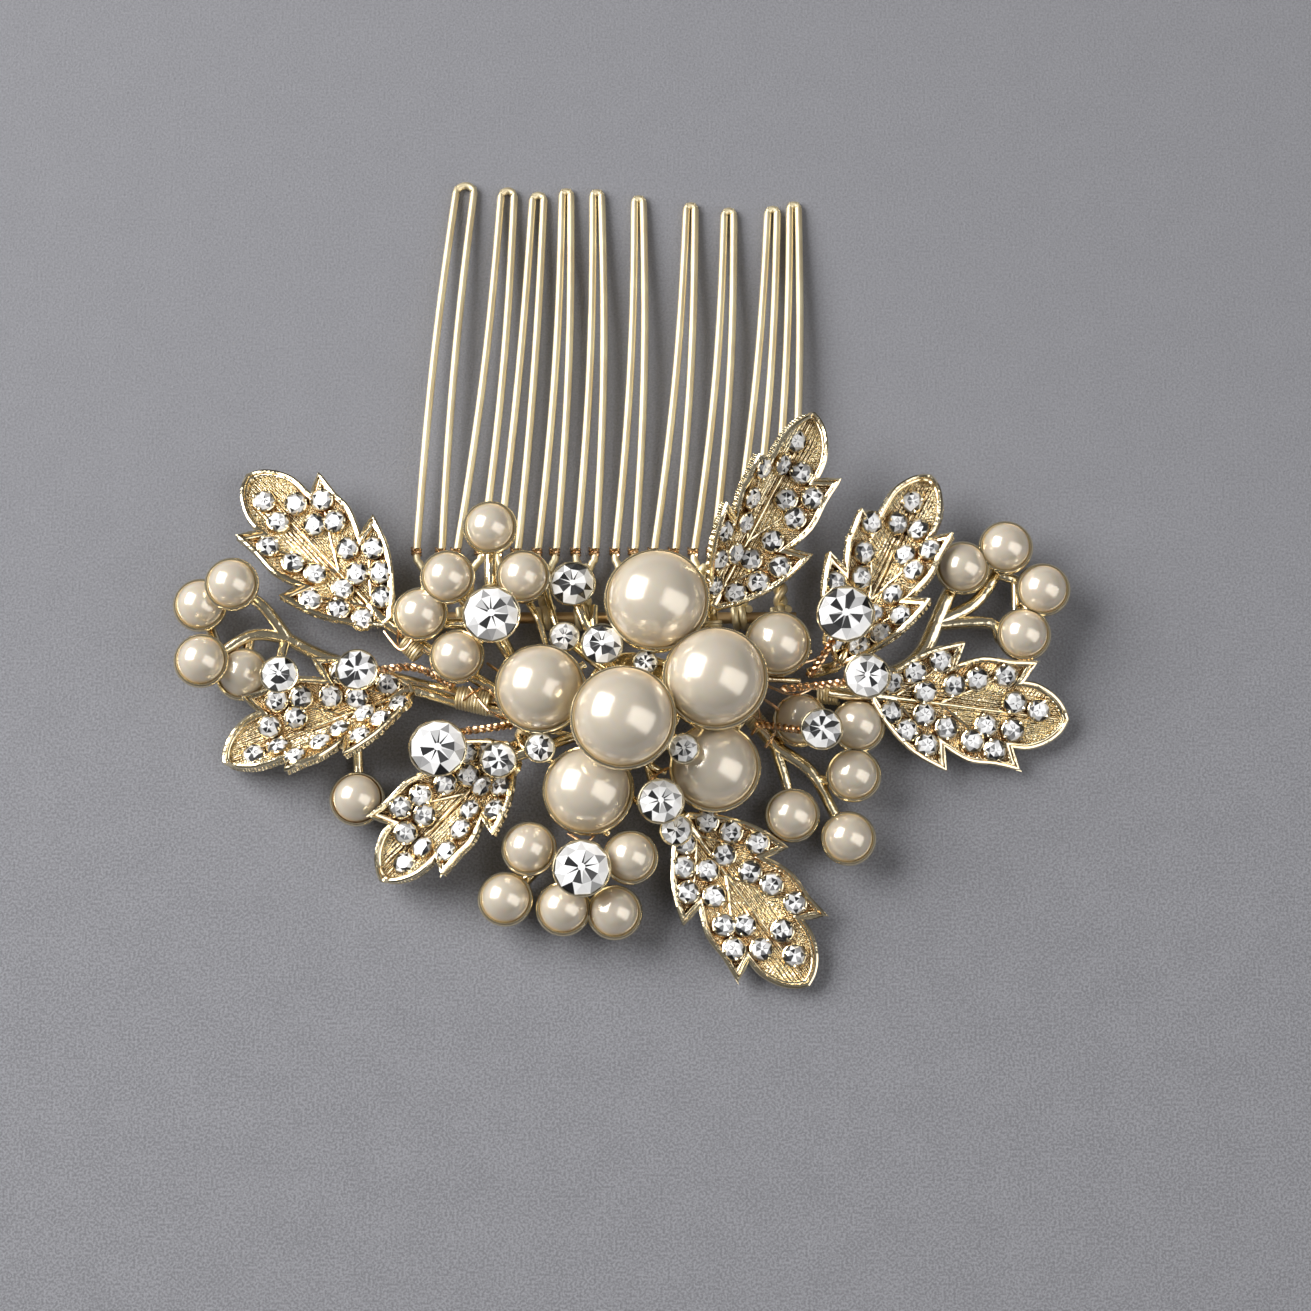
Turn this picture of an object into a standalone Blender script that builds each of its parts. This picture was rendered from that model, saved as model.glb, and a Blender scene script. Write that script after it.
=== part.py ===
"""Decorative bridal hair comb.

Ten wire hairpin teeth are threaded on a straight spine rod. Above the spine lies a wired
spray: a centre casting with cups for large pearls, five cast sprigs of small pearls, seven
five-lobed cast leaves and round crystals in tapered bezels, five of them on wire stems.
Frame: +Z up, the comb lies on its back on the plane z = 0, the teeth point along +Y and the
spray spreads along X. Sizes are in millimetres, turned into metres by MM.
"""

import math

import bmesh
import bpy
from mathutils import Matrix, Vector

MM = 0.001

# ---- wire comb ----
TOOTH_COUNT = 10
TOOTH_PITCH = 4.07
FIRST_TOOTH_X = -19.9
WIRE_RADIUS = 0.4
TIP_HEIGHT = WIRE_RADIUS  # the tooth tips lie on the plane z = 0
TOOTH_BOW = 0.9  # how far a leg rises above the straight line at its middle
JOIN_Y = 2.6  # where the two legs of a tooth meet and start to twist
LEG_FLARE = 2.4  # length over which the legs spread out from the join
STRAND_OFFSET = 0.43  # half the spacing of the two strands where the rope starts
# For each tooth from left to right: sideways lean of its tip, sideways bow at its middle,
# tip position along Y, spacing of the legs at the join end and spacing at the tip.
TEETH = (
    (3.4, -0.4, 44.6, 2.6, 1.9),
    (3.8, 0.6, 44.0, 2.6, 1.4),
    (3.0, 0.4, 43.5, 2.0, 1.2),
    (1.9, 0.6, 43.9, 1.9, 0.9),
    (1.1, 0.6, 43.8, 2.0, 0.9),
    (1.5, 0.6, 43.1, 2.0, 0.9),
    (3.0, 0.6, 42.3, 2.2, 0.9),
    (3.0, 0.7, 41.7, 2.0, 1.0),
    (3.6, 0.6, 41.9, 2.0, 1.0),
    (1.8, 0.5, 42.4, 2.0, 0.9),
)
SPINE_RADIUS = 0.6
SPINE_Y = -4.2
SPINE_Z = 2.0
SPINE_OVERHANG = 1.6  # rod past the first and the last tooth
SHANK_RADIUS = 0.72  # the rope of a tooth's two ends
RING_RADIUS = 1.35  # the wrap of a tooth round the spine
RING_WIDTH = 1.5
SEAT_GAP = 0.1  # clearance between pieces that touch

# ---- pearls: diameter, and centres in x, y, z ----
SMALL_PEARL = 4.8
MEDIUM_PEARL = 8.5
LARGE_PEARL = 9.9
SIX_PEARL = 6.0
CUP_LIP = 0.45  # a cup reaches up to this part of the radius below the pearl's centre
CUP_WALL = 0.3
CUP_FLOOR = 0.45

LARGE_PEARLS = {
    "pearl_large_back": (LARGE_PEARL, (3.9, -4.6, 10.5)),
    "pearl_large_right": (LARGE_PEARL, (9.8, -13.0, 11.2)),
    "pearl_large_top": (LARGE_PEARL, (0.5, -17.6, 13.2)),
    "pearl_medium_left": (MEDIUM_PEARL, (-8.0, -13.4, 8.5)),
    "pearl_medium_bottom": (MEDIUM_PEARL, (-3.1, -23.5, 6.3)),
    "pearl_medium_right": (MEDIUM_PEARL, (9.8, -21.1, 6.3)),
    "pearl_six_right": (SIX_PEARL, (16.3, -8.1, 6.5)),
}

# ---- round crystals in bezels: outer radius of the bezel and centre of its rim ----
BEZEL_TAPER = 0.68  # radius of a bezel's foot against its rim
BEZEL_DEPTH = 0.65  # depth of a bezel against its radius
CROWN_HEIGHT = 0.28  # height of the stone above the rim against its radius
CROWN_TABLE = 0.55  # radius of the stone's flat top against the bezel's
STEM_WIRE = 0.42  # outer radius of a twisted pair of fine wires

# Crystals that are pieces of their own, with the route of their twisted stem.
WIRED_CRYSTALS = {
    "crystal_lower_left": (3.0, (-18.3, -19.8, 9.0), ((-16.6, -18.0, 7.6), (-12.6, -17.0, 6.8))),
    "crystal_left": (2.2, (-26.8, -11.1, 7.2), ((-24.5, -10.9, 6.4), (-20.6, -10.6, 5.8))),
    "crystal_lower_right": (2.2, (20.6, -17.8, 9.0), ((18.0, -17.6, 8.0), (14.0, -16.4, 5.6))),
    "crystal_right_upper": (3.0, (23.1, -6.1, 10.5), ((21.2, -9.4, 8.4), (19.4, -11.6, 6.2))),
    "crystal_right": (2.4, (25.3, -12.1, 8.5), ((22.6, -12.6, 7.5), (16.4, -13.2, 7.2))),
}

# ---- castings: arms are (radius, points), crystals are (bezel radius, rim centre) ----
PLATE_CENTRE = (1.4, -13.6)
PLATE_RADIUS = 5.2
PLATE_BOTTOM = 3.0
PLATE_THICKNESS = 1.0
ARM = 0.65
POST = 0.55

CENTRE_ARMS = (
    (ARM, ((2.4, -10.0, 3.7), (3.6, -7.0, 4.3), (3.9, -5.0, 5.2))),
    (ARM, ((5.5, -13.4, 3.7), (8.4, -13.1, 4.4), (9.6, -13.0, 5.9))),
    (0.9, ((0.9, -16.4, 3.4), (0.5, -17.6, 7.9))),
    (ARM, ((-2.6, -13.6, 3.7), (-8.0, -13.4, 3.7))),
    (ARM, ((0.2, -17.0, 3.7), (-0.6, -19.0, 3.7), (-2.2, -21.6, 2.2), (-3.1, -23.2, 1.8))),
    (ARM, ((4.2, -16.6, 3.7), (5.6, -18.6, 3.7), (8.0, -20.2, 2.4), (9.6, -21.0, 1.8))),
    (ARM, ((5.6, -11.8, 3.7), (8.0, -10.6, 3.7), (11.0, -9.4, 3.4), (16.0, -8.2, 3.3))),
    (POST, ((-0.6, -9.6, 3.7), (-3.4, -5.6, 4.4), (-4.6, -2.2, 4.6))),
    (POST, ((-1.4, -10.2, 3.7), (-5.4, -7.4, 5.5))),
    (POST, ((-0.6, -10.6, 3.6), (-1.6, -9.1, 9.0))),
    (POST, ((2.4, -11.2, 3.6), (2.7, -10.8, 8.3))),
    (POST, ((-2.0, -16.4, 3.6), (-7.8, -19.2, 6.9))),
    (POST, ((-7.8, -19.2, 6.7), (-12.1, -20.6, 6.4))),
    (POST, ((3.6, -16.6, 3.6), (5.6, -18.6, 8.0), (6.6, -20.3, 10.4))),
    (POST, ((2.6, -18.0, 3.6), (3.7, -23.2, 5.2), (4.3, -25.4, 7.9))),
    (POST, ((4.2, -25.0, 6.6), (5.6, -27.6, 6.1))),
)
CENTRE_CRYSTALS = (
    (2.4, (-4.8, -1.7, 6.2)),
    (1.6, (-5.6, -7.4, 6.5)),
    (2.2, (-1.7, -9.2, 10.2)),
    (1.3, (2.7, -10.8, 9.0)),
    (1.9, (-12.2, -20.7, 7.6)),
    (1.6, (-8.0, -19.5, 8.0)),
    (1.6, (6.6, -20.4, 11.3)),
    (2.4, (4.3, -25.4, 9.4)),
    (1.7, (5.8, -27.8, 6.9)),
)

SPRIGS = {
    "left": {
        "pearls": ((-43.4, -3.1, 3.2), (-39.9, -1.7, 6.2), (-42.9, -9.7, 5.6), (-38.9, -10.4, 2.9)),
        "arms": (
            (0.6, ((-34.3, -6.6, 2.6), (-36.8, -3.4, 3.4), (-39.4, -1.6, 3.6))),
            (0.6, ((-34.3, -6.6, 2.6), (-38.2, -6.4, 3.0), (-42.6, -9.4, 2.9))),
            (0.55, ((-41.4, -8.0, 2.8), (-42.4, -5.4, 1.4), (-43.2, -3.4, 0.9))),
            (0.55, ((-38.2, -6.4, 2.9), (-38.9, -10.0, 0.8))),
            (0.5, ((-34.6, -7.0, 2.6), (-34.8, -9.4, 4.8), (-34.7, -11.4, 6.1))),
            (0.7, ((-34.3, -6.6, 2.6), (-30.0, -8.6, 2.0), (-20.0, -11.6, 2.0), (-13.0, -13.0, 2.2))),
        ),
        "crystals": ((2.0, (-34.7, -11.6, 7.2)),),
    },
    "upper_left": {
        "pearls": (
            (-13.3, 4.0, 7.5),
            (-17.6, -1.5, 8.2),
            (-9.9, -1.0, 6.6),
            (-20.4, -5.0, 6.6),
            (-16.6, -9.5, 6.6),
        ),
        "arms": (
            (0.6, ((-13.0, -5.9, 5.2), (-13.3, 0.0, 4.9), (-13.3, 3.8, 4.9))),
            (0.6, ((-13.0, -5.9, 5.2), (-17.5, -1.8, 5.5))),
            (0.6, ((-13.0, -5.9, 5.2), (-10.1, -1.4, 4.1))),
            (0.6, ((-13.0, -5.9, 5.2), (-20.1, -5.2, 4.1))),
            (0.6, ((-13.0, -5.9, 5.2), (-16.4, -9.3, 4.1))),
            (1.0, ((-13.0, -5.9, 4.6), (-13.0, -5.9, 8.2))),
            (0.7, ((-13.0, -5.9, 4.9), (-11.0, -9.0, 3.0))),
        ),
        "crystals": ((3.0, (-13.0, -5.9, 9.6)),),
    },
    "right": {
        "pearls": ((35.5, 0.4, 5.0), (40.0, 2.6, 5.0), (43.8, -1.8, 4.5), (41.7, -6.6, 4.5)),
        "arms": (
            (0.9, ((20.4, -12.4, 2.0), (28.0, -10.4, 2.0), (31.1, -8.4, 2.4), (32.8, -5.0, 3.0))),
            (0.75, ((32.8, -5.0, 3.0), (34.0, -2.2, 3.2), (35.4, 0.2, 2.4))),
            (0.65, ((32.8, -5.0, 3.0), (36.8, -2.9, 3.0), (39.2, 0.6, 2.6), (40.0, 2.4, 2.3))),
            (0.55, ((39.2, 0.4, 2.6), (41.4, -0.4, 2.4), (43.5, -1.7, 1.9))),
            (0.55, ((41.2, -0.5, 2.4), (41.2, -3.4, 2.4), (41.6, -6.2, 1.9))),
            (0.6, ((33.0, -5.2, 3.0), (38.3, -5.0, 2.9), (39.6, -6.8, 2.4), (41.5, -6.6, 1.9))),
        ),
        "crystals": (),
    },
    "lower_right": {
        "pearls": (
            (18.6, -15.7, 4.5),
            (24.5, -16.3, 4.5),
            (24.0, -21.5, 4.5),
            (17.7, -25.6, 4.0),
            (23.4, -28.0, 4.0),
        ),
        "arms": (
            (0.75, ((13.2, -14.4, 2.8), (16.2, -18.2, 2.6))),
            (0.55, ((16.0, -18.0, 2.6), (17.2, -22.0, 2.0), (17.7, -25.3, 1.4))),
            (0.6, ((16.2, -18.2, 2.6), (19.6, -20.6, 2.6), (21.7, -24.2, 1.9), (23.2, -27.6, 1.4))),
            (0.55, ((20.4, -21.6, 2.5), (23.8, -21.5, 1.9))),
            (0.55, ((16.2, -18.0, 2.6), (18.5, -16.0, 1.9), (24.3, -16.4, 1.9))),
        ),
        "crystals": (),
    },
    "bottom": {
        "pearls": (
            (-9.1, -29.4, 5.5),
            (-11.5, -34.3, 4.0),
            (-5.6, -35.3, 4.0),
            (-0.4, -35.7, 4.0),
            (1.2, -30.3, 5.5),
        ),
        "arms": (
            (0.6, ((-4.0, -31.4, 3.0), (-8.8, -29.5, 2.9))),
            (0.6, ((-7.6, -30.0, 2.9), (-11.2, -33.8, 1.4))),
            (0.6, ((-4.0, -31.4, 3.0), (-5.5, -35.0, 1.4))),
            (0.6, ((-4.0, -31.4, 3.0), (-0.6, -35.4, 1.4))),
            (0.6, ((-4.0, -31.4, 3.0), (1.0, -30.4, 2.9))),
            (0.9, ((-3.8, -31.8, 2.8), (-3.7, -32.0, 6.5))),
            (0.7, ((-4.0, -31.4, 3.0), (-3.9, -29.2, 2.4))),
        ),
        "crystals": ((3.0, (-3.7, -32.0, 8.0)),),
    },
}
LEAF_PEARL = (-26.8, -23.7, 3.2)  # the pearl on the lower left leaf's own arm
LEAF_PEARL_ARM = ((-27.1, -14.4, 2.5), (-27.0, -17.0, 1.6), (-26.7, -23.2, 0.8))

# ---- leaves ----
# Half outlines as parts of the leaf's length (along, across): the rear lobe, the front lobe
# measured from its tip, and the leaf's own tip.
REAR_LOBE = ((0.00, 0.030), (0.10, 0.140), (0.24, 0.245), (0.41, 0.310), (0.385, 0.195), (0.52, 0.250))
FRONT_LOBE = ((-0.12, 0.250), (0.00, 0.262), (-0.05, 0.160))
LEAF_TIP = ((0.82, 0.155), (0.91, 0.115), (0.97, 0.060), (1.00, 0.000))
LEAF_LENGTH = 21.7  # nominal length that the outline's widths are measured by
LEAF_THICKNESS = 0.9
MIDRIB_OVERLAP = 0.25  # how far each half reaches past the midrib into the other
STALK_RADIUS = 0.6
# Each leaf: start of the blade and its tip; for its left and its right half, as seen looking
# from the stalk to the tip, the degrees it is folded up from flat and how far along the leaf
# its front lobe reaches; and the end of the stalk.
LEAVES = {
    "leaf_upper_left": ((-24.0, -5.3, 4.2), (-38.8, 10.9, 2.6), (15, 0.78), (15, 0.75), (-18.6, -11.4, 3.8)),
    "leaf_lower_left": ((-21.3, -12.3, 3.2), (-40.6, -19.4, 1.4), (40, 0.71), (10, 0.80), (-14.6, -15.0, 3.2)),
    "leaf_bottom_left": ((-11.0, -18.6, 4.0), (-24.2, -32.0, 2.2), (32, 0.75), (22, 0.80), (-9.6, -16.8, 2.8)),
    "leaf_bottom_right": ((6.6, -26.0, 4.2), (19.2, -42.6, 1.0), (5, 0.78), (5, 0.78), (5.4, -23.6, 3.2)),
    "leaf_top_right": ((9.6, -4.0, 5.6), (20.2, 15.8, 8.4), (60, 0.68), (5, 0.78), (9.8, -7.0, 4.9)),
    "leaf_upper_right": ((22.6, -9.9, 5.2), (32.3, 10.2, 4.6), (30, 0.67), (28, 0.75), (19.4, -10.6, 3.6)),
    "leaf_right": ((26.0, -13.3, 5.2), (46.1, -15.0, 1.4), (25, 0.79), (-12, 0.78), (21.4, -12.9, 5.2)),
}

# ---- mesh fineness ----
WIRE_SIDES = 6
SMALL_PEARL_RINGS = (10, 6)
LARGE_PEARL_RINGS = (14, 8)
CUP_SIDES = 10
BEZEL_SIDES = 10


for leftover in list(bpy.data.objects):
    bpy.data.objects.remove(leftover, do_unlink=True)

comb_parts = bpy.data.collections.new("hair_comb")
helpers = bpy.data.collections.new("cutters")
bpy.context.scene.collection.children.link(comb_parts)
bpy.context.scene.collection.children.link(helpers)
comb_origin = bpy.data.objects.new("hair_comb_origin", None)
comb_parts.objects.link(comb_origin)


def principled(name, colour, roughness, metallic):
    """A plain material with one Principled shader."""
    material = bpy.data.materials.new(name)
    material.use_nodes = True
    shader = material.node_tree.nodes["Principled BSDF"]
    shader.inputs["Base Color"].default_value = (*colour, 1.0)
    shader.inputs["Roughness"].default_value = roughness
    shader.inputs["Metallic"].default_value = metallic
    material.diffuse_color = (*colour, 1.0)
    return material


wire_gold = principled("wire_gold", (0.80, 0.70, 0.42), 0.22, 1.0)
cast_gold = principled("cast_gold", (0.86, 0.66, 0.34), 0.30, 1.0)
pearl_ivory = principled("pearl_ivory", (0.88, 0.80, 0.66), 0.20, 0.0)
crystal_foil = principled("crystal_foil", (0.85, 0.86, 0.88), 0.06, 0.6)


def helper_object(mesh):
    """A temporary object that is left out of the finished comb."""
    obj = bpy.data.objects.new("helper", mesh)
    helpers.objects.link(obj)
    obj.hide_render = True
    obj.display_type = "WIRE"
    return obj


def finish(name, mesh, material):
    """Put a finished mesh into the comb under its own name."""
    mesh.name = name
    mesh.materials.clear()
    mesh.materials.append(material)
    mesh.shade_smooth()
    mesh.set_sharp_from_angle(angle=math.radians(40))
    obj = bpy.data.objects.new(name, mesh)
    comb_parts.objects.link(obj)
    obj.parent = comb_origin
    return obj


def mesh_from(build):
    """A mesh made by a function that fills a bmesh."""
    shape = bmesh.new()
    build(shape)
    bmesh.ops.recalc_face_normals(shape, faces=shape.faces)
    mesh = bpy.data.meshes.new("shape")
    shape.to_mesh(mesh)
    shape.free()
    return mesh


def curve_mesh(curve, matrix=None):
    """The closed mesh of a curve, with its end caps welded on."""
    obj = bpy.data.objects.new("curve", curve)
    helpers.objects.link(obj)
    obj.hide_render = True
    bpy.context.view_layer.update()
    evaluated = obj.evaluated_get(bpy.context.evaluated_depsgraph_get())
    mesh = bpy.data.meshes.new_from_object(evaluated)
    bpy.data.objects.remove(obj, do_unlink=True)
    shape = bmesh.new()
    shape.from_mesh(mesh)
    bmesh.ops.remove_doubles(shape, verts=shape.verts, dist=0.002 * MM)
    bmesh.ops.recalc_face_normals(shape, faces=shape.faces)
    shape.to_mesh(mesh)
    shape.free()
    if matrix:
        mesh.transform(matrix)
    return mesh


def tube(points, radius):
    """A round wire through the points, with flat ends."""
    curve = bpy.data.curves.new("wire", "CURVE")
    curve.dimensions = "3D"
    curve.bevel_depth = radius * MM
    curve.bevel_resolution = WIRE_SIDES // 2 - 2
    curve.use_fill_caps = True
    spline = curve.splines.new("POLY")
    spline.points.add(len(points) - 1)
    for knot, point in zip(spline.points, points):
        knot.co = (*(Vector(point) * MM), 1.0)
    return curve_mesh(curve)


def sphere(centre, radius, rings):
    """A ball with its poles upright."""

    def build(shape):
        place = Matrix.Translation(Vector(centre) * MM)
        bmesh.ops.create_uvsphere(
            shape, u_segments=rings[0], v_segments=rings[1], radius=radius * MM, matrix=place
        )

    return mesh_from(build)


def frustum(centre, foot_radius, foot_z, rim_radius, rim_z, sides):
    """An upright round cone stump between two heights measured from the centre."""

    def build(shape):
        middle = Vector(centre) + Vector((0, 0, (foot_z + rim_z) / 2))
        bmesh.ops.create_cone(
            shape,
            cap_ends=True,
            segments=sides,
            radius1=foot_radius * MM,
            radius2=rim_radius * MM,
            depth=(rim_z - foot_z) * MM,
            matrix=Matrix.Translation(middle * MM),
        )

    return mesh_from(build)


def rod_along_x(x_from, x_to, y, z, radius, sides):
    """A round bar parallel to X."""

    def build(shape):
        middle = Matrix.Translation(Vector(((x_from + x_to) / 2, y, z)) * MM)
        bmesh.ops.create_cone(
            shape,
            cap_ends=True,
            segments=sides,
            radius1=radius * MM,
            radius2=radius * MM,
            depth=(x_to - x_from) * MM,
            matrix=middle @ Matrix.Rotation(math.radians(90), 4, "Y"),
        )

    return mesh_from(build)


def fused(pieces, cuts=()):
    """One mesh from pieces that run into each other, less the cuts."""
    base = helper_object(pieces[0])
    others = [(piece, "UNION") for piece in pieces[1:]]
    others += [(cut, "DIFFERENCE") for cut in cuts]
    tools = []
    for mesh, operation in others:
        tools.append(helper_object(mesh))
        boolean = base.modifiers.new(operation.lower(), "BOOLEAN")
        boolean.operation = operation
        boolean.solver = "MANIFOLD"  # the exact solver fails on these many-armed unions
        boolean.object = tools[-1]
    bpy.context.view_layer.update()
    evaluated = base.evaluated_get(bpy.context.evaluated_depsgraph_get())
    mesh = bpy.data.meshes.new_from_object(evaluated)
    for obj in (base, *tools):
        bpy.data.objects.remove(obj, do_unlink=True)
    return mesh


# ---- wire comb ----
def tooth_x(index):
    return FIRST_TOOTH_X + index * TOOTH_PITCH


def leg_height(y, tip_y):
    """Height of a tooth's legs: down to the tip in a shallow bow."""
    part = (y - JOIN_Y) / (tip_y - JOIN_Y)
    return SPINE_Z + (TIP_HEIGHT - SPINE_Z) * part + TOOTH_BOW * math.sin(math.pi * max(part, 0))


def hairpin_points(x, lean, bow, tip_y, root_gap, tip_gap):
    """Points of the wire from the join up one leg, round the closed tip and down the other."""
    turn_y = tip_y - WIRE_RADIUS - tip_gap / 2
    root_y = JOIN_Y + LEG_FLARE
    leg = [(STRAND_OFFSET, JOIN_Y - 0.6), (root_gap * 0.36, JOIN_Y + 0.6), (root_gap / 2, root_y)]
    for step in (1 / 3, 2 / 3, 1.0):
        leg.append((root_gap / 2 + (tip_gap - root_gap) / 2 * step, root_y + (turn_y - root_y) * step))
    tip = [
        (tip_gap / 2 * math.cos(angle), turn_y + tip_gap / 2 * math.sin(angle))
        for angle in (math.radians(45), math.radians(90), math.radians(135))
    ]
    loop = leg + tip + [(-side, y) for side, y in reversed(leg)]
    points = []
    for side, y in loop:
        part = (y - JOIN_Y) / (tip_y - JOIN_Y)
        shift = lean * part + bow * math.sin(math.pi * max(part, 0))
        points.append((x + shift + side, y, leg_height(y, tip_y)))
    return points


def tooth(index):
    lean, bow, tip_y, root_gap, tip_gap = TEETH[index]
    x = tooth_x(index)
    pieces = [
        rod_along_x(x - RING_WIDTH / 2, x + RING_WIDTH / 2, SPINE_Y, SPINE_Z, RING_RADIUS, 12),
        tube(((x, SPINE_Y, SPINE_Z), (x, JOIN_Y + 0.2, SPINE_Z)), SHANK_RADIUS),
        tube(hairpin_points(x, lean, bow, tip_y, root_gap, tip_gap), WIRE_RADIUS),
    ]
    bore = rod_along_x(x - 2, x + 2, SPINE_Y, SPINE_Z, SPINE_RADIUS + SEAT_GAP, 12)
    finish(f"tooth_{index + 1:02d}", fused(pieces, [bore]), wire_gold)


def spine():
    start = tooth_x(0) - SPINE_OVERHANG
    end = tooth_x(TOOTH_COUNT - 1) + SPINE_OVERHANG
    finish("comb_spine", rod_along_x(start, end, SPINE_Y, SPINE_Z, SPINE_RADIUS, 12), wire_gold)


# ---- pearls and their cups ----
def pearl_rings(diameter):
    return SMALL_PEARL_RINGS if diameter < MEDIUM_PEARL else LARGE_PEARL_RINGS


def pearl(name, centre, diameter):
    finish(name, sphere(centre, diameter / 2, pearl_rings(diameter)), pearl_ivory)


def pearl_pocket(centre, diameter):
    return sphere(centre, diameter / 2 + SEAT_GAP, pearl_rings(diameter))


def pearl_cup(centre, diameter):
    """The tapered cup that a pearl is glued into."""
    radius = diameter / 2
    lip = radius * math.sqrt(1 - CUP_LIP**2) + SEAT_GAP + CUP_WALL
    return frustum(centre, radius * 0.45, -radius - CUP_FLOOR, lip, -radius * CUP_LIP, CUP_SIDES)


# ---- crystals ----
def crystal_setting(radius, rim):
    """A tapered bezel with the crown of its stone on top, as one solid."""
    depth = radius * BEZEL_DEPTH + 0.2
    bezel = frustum(rim, radius * BEZEL_TAPER, -depth, radius, 0.0, BEZEL_SIDES)
    crown_radius = radius * 0.9
    crown = frustum(
        rim, crown_radius, -0.1, radius * CROWN_TABLE, radius * CROWN_HEIGHT, BEZEL_SIDES
    )
    return [bezel, crown]


def wired_crystal(name, radius, rim, stem):
    foot = Vector(rim) - Vector((0, 0, radius * BEZEL_DEPTH * 0.6))
    route = [foot] + [Vector(point) for point in stem]
    finish(name, fused(crystal_setting(radius, rim) + [tube(route, STEM_WIRE)]), crystal_foil)


# ---- castings ----
def casting(name, arms, crystals, pearls, extra=()):
    """Arms, pearl cups and crystal bezels cast in one piece; pearls are (centre, diameter)."""
    pieces = list(extra)
    pieces += [tube(points, radius) for radius, points in arms]
    for radius, rim in crystals:
        pieces += crystal_setting(radius, rim)
    pieces += [pearl_cup(centre, diameter) for centre, diameter in pearls]
    pockets = [pearl_pocket(centre, diameter) for centre, diameter in pearls]
    finish(name, fused(pieces, pockets), cast_gold)


def centre_casting():
    plate = frustum(
        (*PLATE_CENTRE, PLATE_BOTTOM), PLATE_RADIUS, 0.0, PLATE_RADIUS, PLATE_THICKNESS, 20
    )
    seats = [(centre, diameter) for diameter, centre in LARGE_PEARLS.values()]
    casting("centre_casting", CENTRE_ARMS, CENTRE_CRYSTALS, seats, [plate])
    for name, (diameter, centre) in LARGE_PEARLS.items():
        pearl(name, centre, diameter)


def sprig(side, layout):
    seats = [(centre, SMALL_PEARL) for centre in layout["pearls"]]
    casting(f"sprig_{side}", layout["arms"], layout["crystals"], seats)
    for number, centre in enumerate(layout["pearls"], start=1):
        pearl(f"pearl_{side}_{number}", centre, SMALL_PEARL)


# ---- leaves ----
def leaf_frame(base, tip):
    """Matrix from the leaf's own frame: X from stalk to tip, Y to its left, Z up from its face."""
    along = (Vector(tip) - Vector(base)).normalized()
    across = Vector((0, 0, 1)).cross(along).normalized()
    turn = Matrix((along, across, along.cross(across))).transposed().to_4x4()
    return Matrix.Translation(Vector(base) * MM) @ turn


def leaf_half(base, tip, side, fold, reach):
    """One half of a five-lobed plate, folded up about the midrib; side is 1 left, -1 right."""
    length = (Vector(tip) - Vector(base)).length
    front_lobe = tuple((reach + along, across) for along, across in FRONT_LOBE)
    half = REAR_LOBE + front_lobe + LEAF_TIP
    outline = [(length * along, LEAF_LENGTH * across * side) for along, across in half]
    outline += [(length * 0.95, -MIDRIB_OVERLAP * side), (0.0, -MIDRIB_OVERLAP * side)]
    curve = bpy.data.curves.new("leaf", "CURVE")
    curve.dimensions = "2D"
    curve.fill_mode = "BOTH"
    curve.extrude = LEAF_THICKNESS / 2 * MM
    spline = curve.splines.new("POLY")
    spline.points.add(len(outline) - 1)
    spline.use_cyclic_u = True
    for knot, (along, across) in zip(spline.points, outline):
        knot.co = (along * MM, across * MM, 0.0, 1.0)
    turn = Matrix.Rotation(math.radians(fold * side), 4, "X")
    return curve_mesh(curve, leaf_frame(base, tip) @ turn)


def leaf(name, base, tip, left, right, stalk_end):
    inside = Vector(base).lerp(Vector(tip), 0.08)
    pieces = [
        leaf_half(base, tip, 1, *left),
        leaf_half(base, tip, -1, *right),
        tube((inside, base, stalk_end), STALK_RADIUS),
    ]
    pockets = []
    if name == "leaf_lower_left":
        pieces.append(tube(LEAF_PEARL_ARM, 0.55))
        pieces.append(pearl_cup(LEAF_PEARL, SMALL_PEARL))
        pockets.append(pearl_pocket(LEAF_PEARL, SMALL_PEARL))
        pearl("pearl_leaf", LEAF_PEARL, SMALL_PEARL)
    finish(name, fused(pieces, pockets), cast_gold)


spine()
for tooth_index in range(TOOTH_COUNT):
    tooth(tooth_index)
centre_casting()
for sprig_side, sprig_layout in SPRIGS.items():
    sprig(sprig_side, sprig_layout)
for leaf_name, leaf_place in LEAVES.items():
    leaf(leaf_name, *leaf_place)
for crystal_name, crystal_place in WIRED_CRYSTALS.items():
    wired_crystal(crystal_name, *crystal_place)

# ---- frame: x = 0 and y = 0 in the middle of the footprint, z = 0 at the lowest point ----
corners = [vertex.co for obj in comb_parts.objects if obj.type == "MESH" for vertex in obj.data.vertices]
lowest, highest = [[pick(co[axis] for co in corners) for axis in range(3)] for pick in (min, max)]
comb_origin.location = (-(lowest[0] + highest[0]) / 2, -(lowest[1] + highest[1]) / 2, -lowest[2])
print("frame shift in mm:", [round(value / MM, 3) for value in comb_origin.location])
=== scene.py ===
# %% [markdown]
# # A pearl and crystal hair comb
# This file dresses a packed comb model: the solids say where everything is, and here every
# visible piece gets the shape and finish of the real thing. Such a comb is made from ten wire
# hairpins on a rod, with cast leaves, sprigs, pearls and crystals wired on above it.
#
# We first load the imported model. Its box is kept.

# %% Load the imported comb
import math
import random

import bmesh
import bpy
from mathutils import Matrix, Vector


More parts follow.
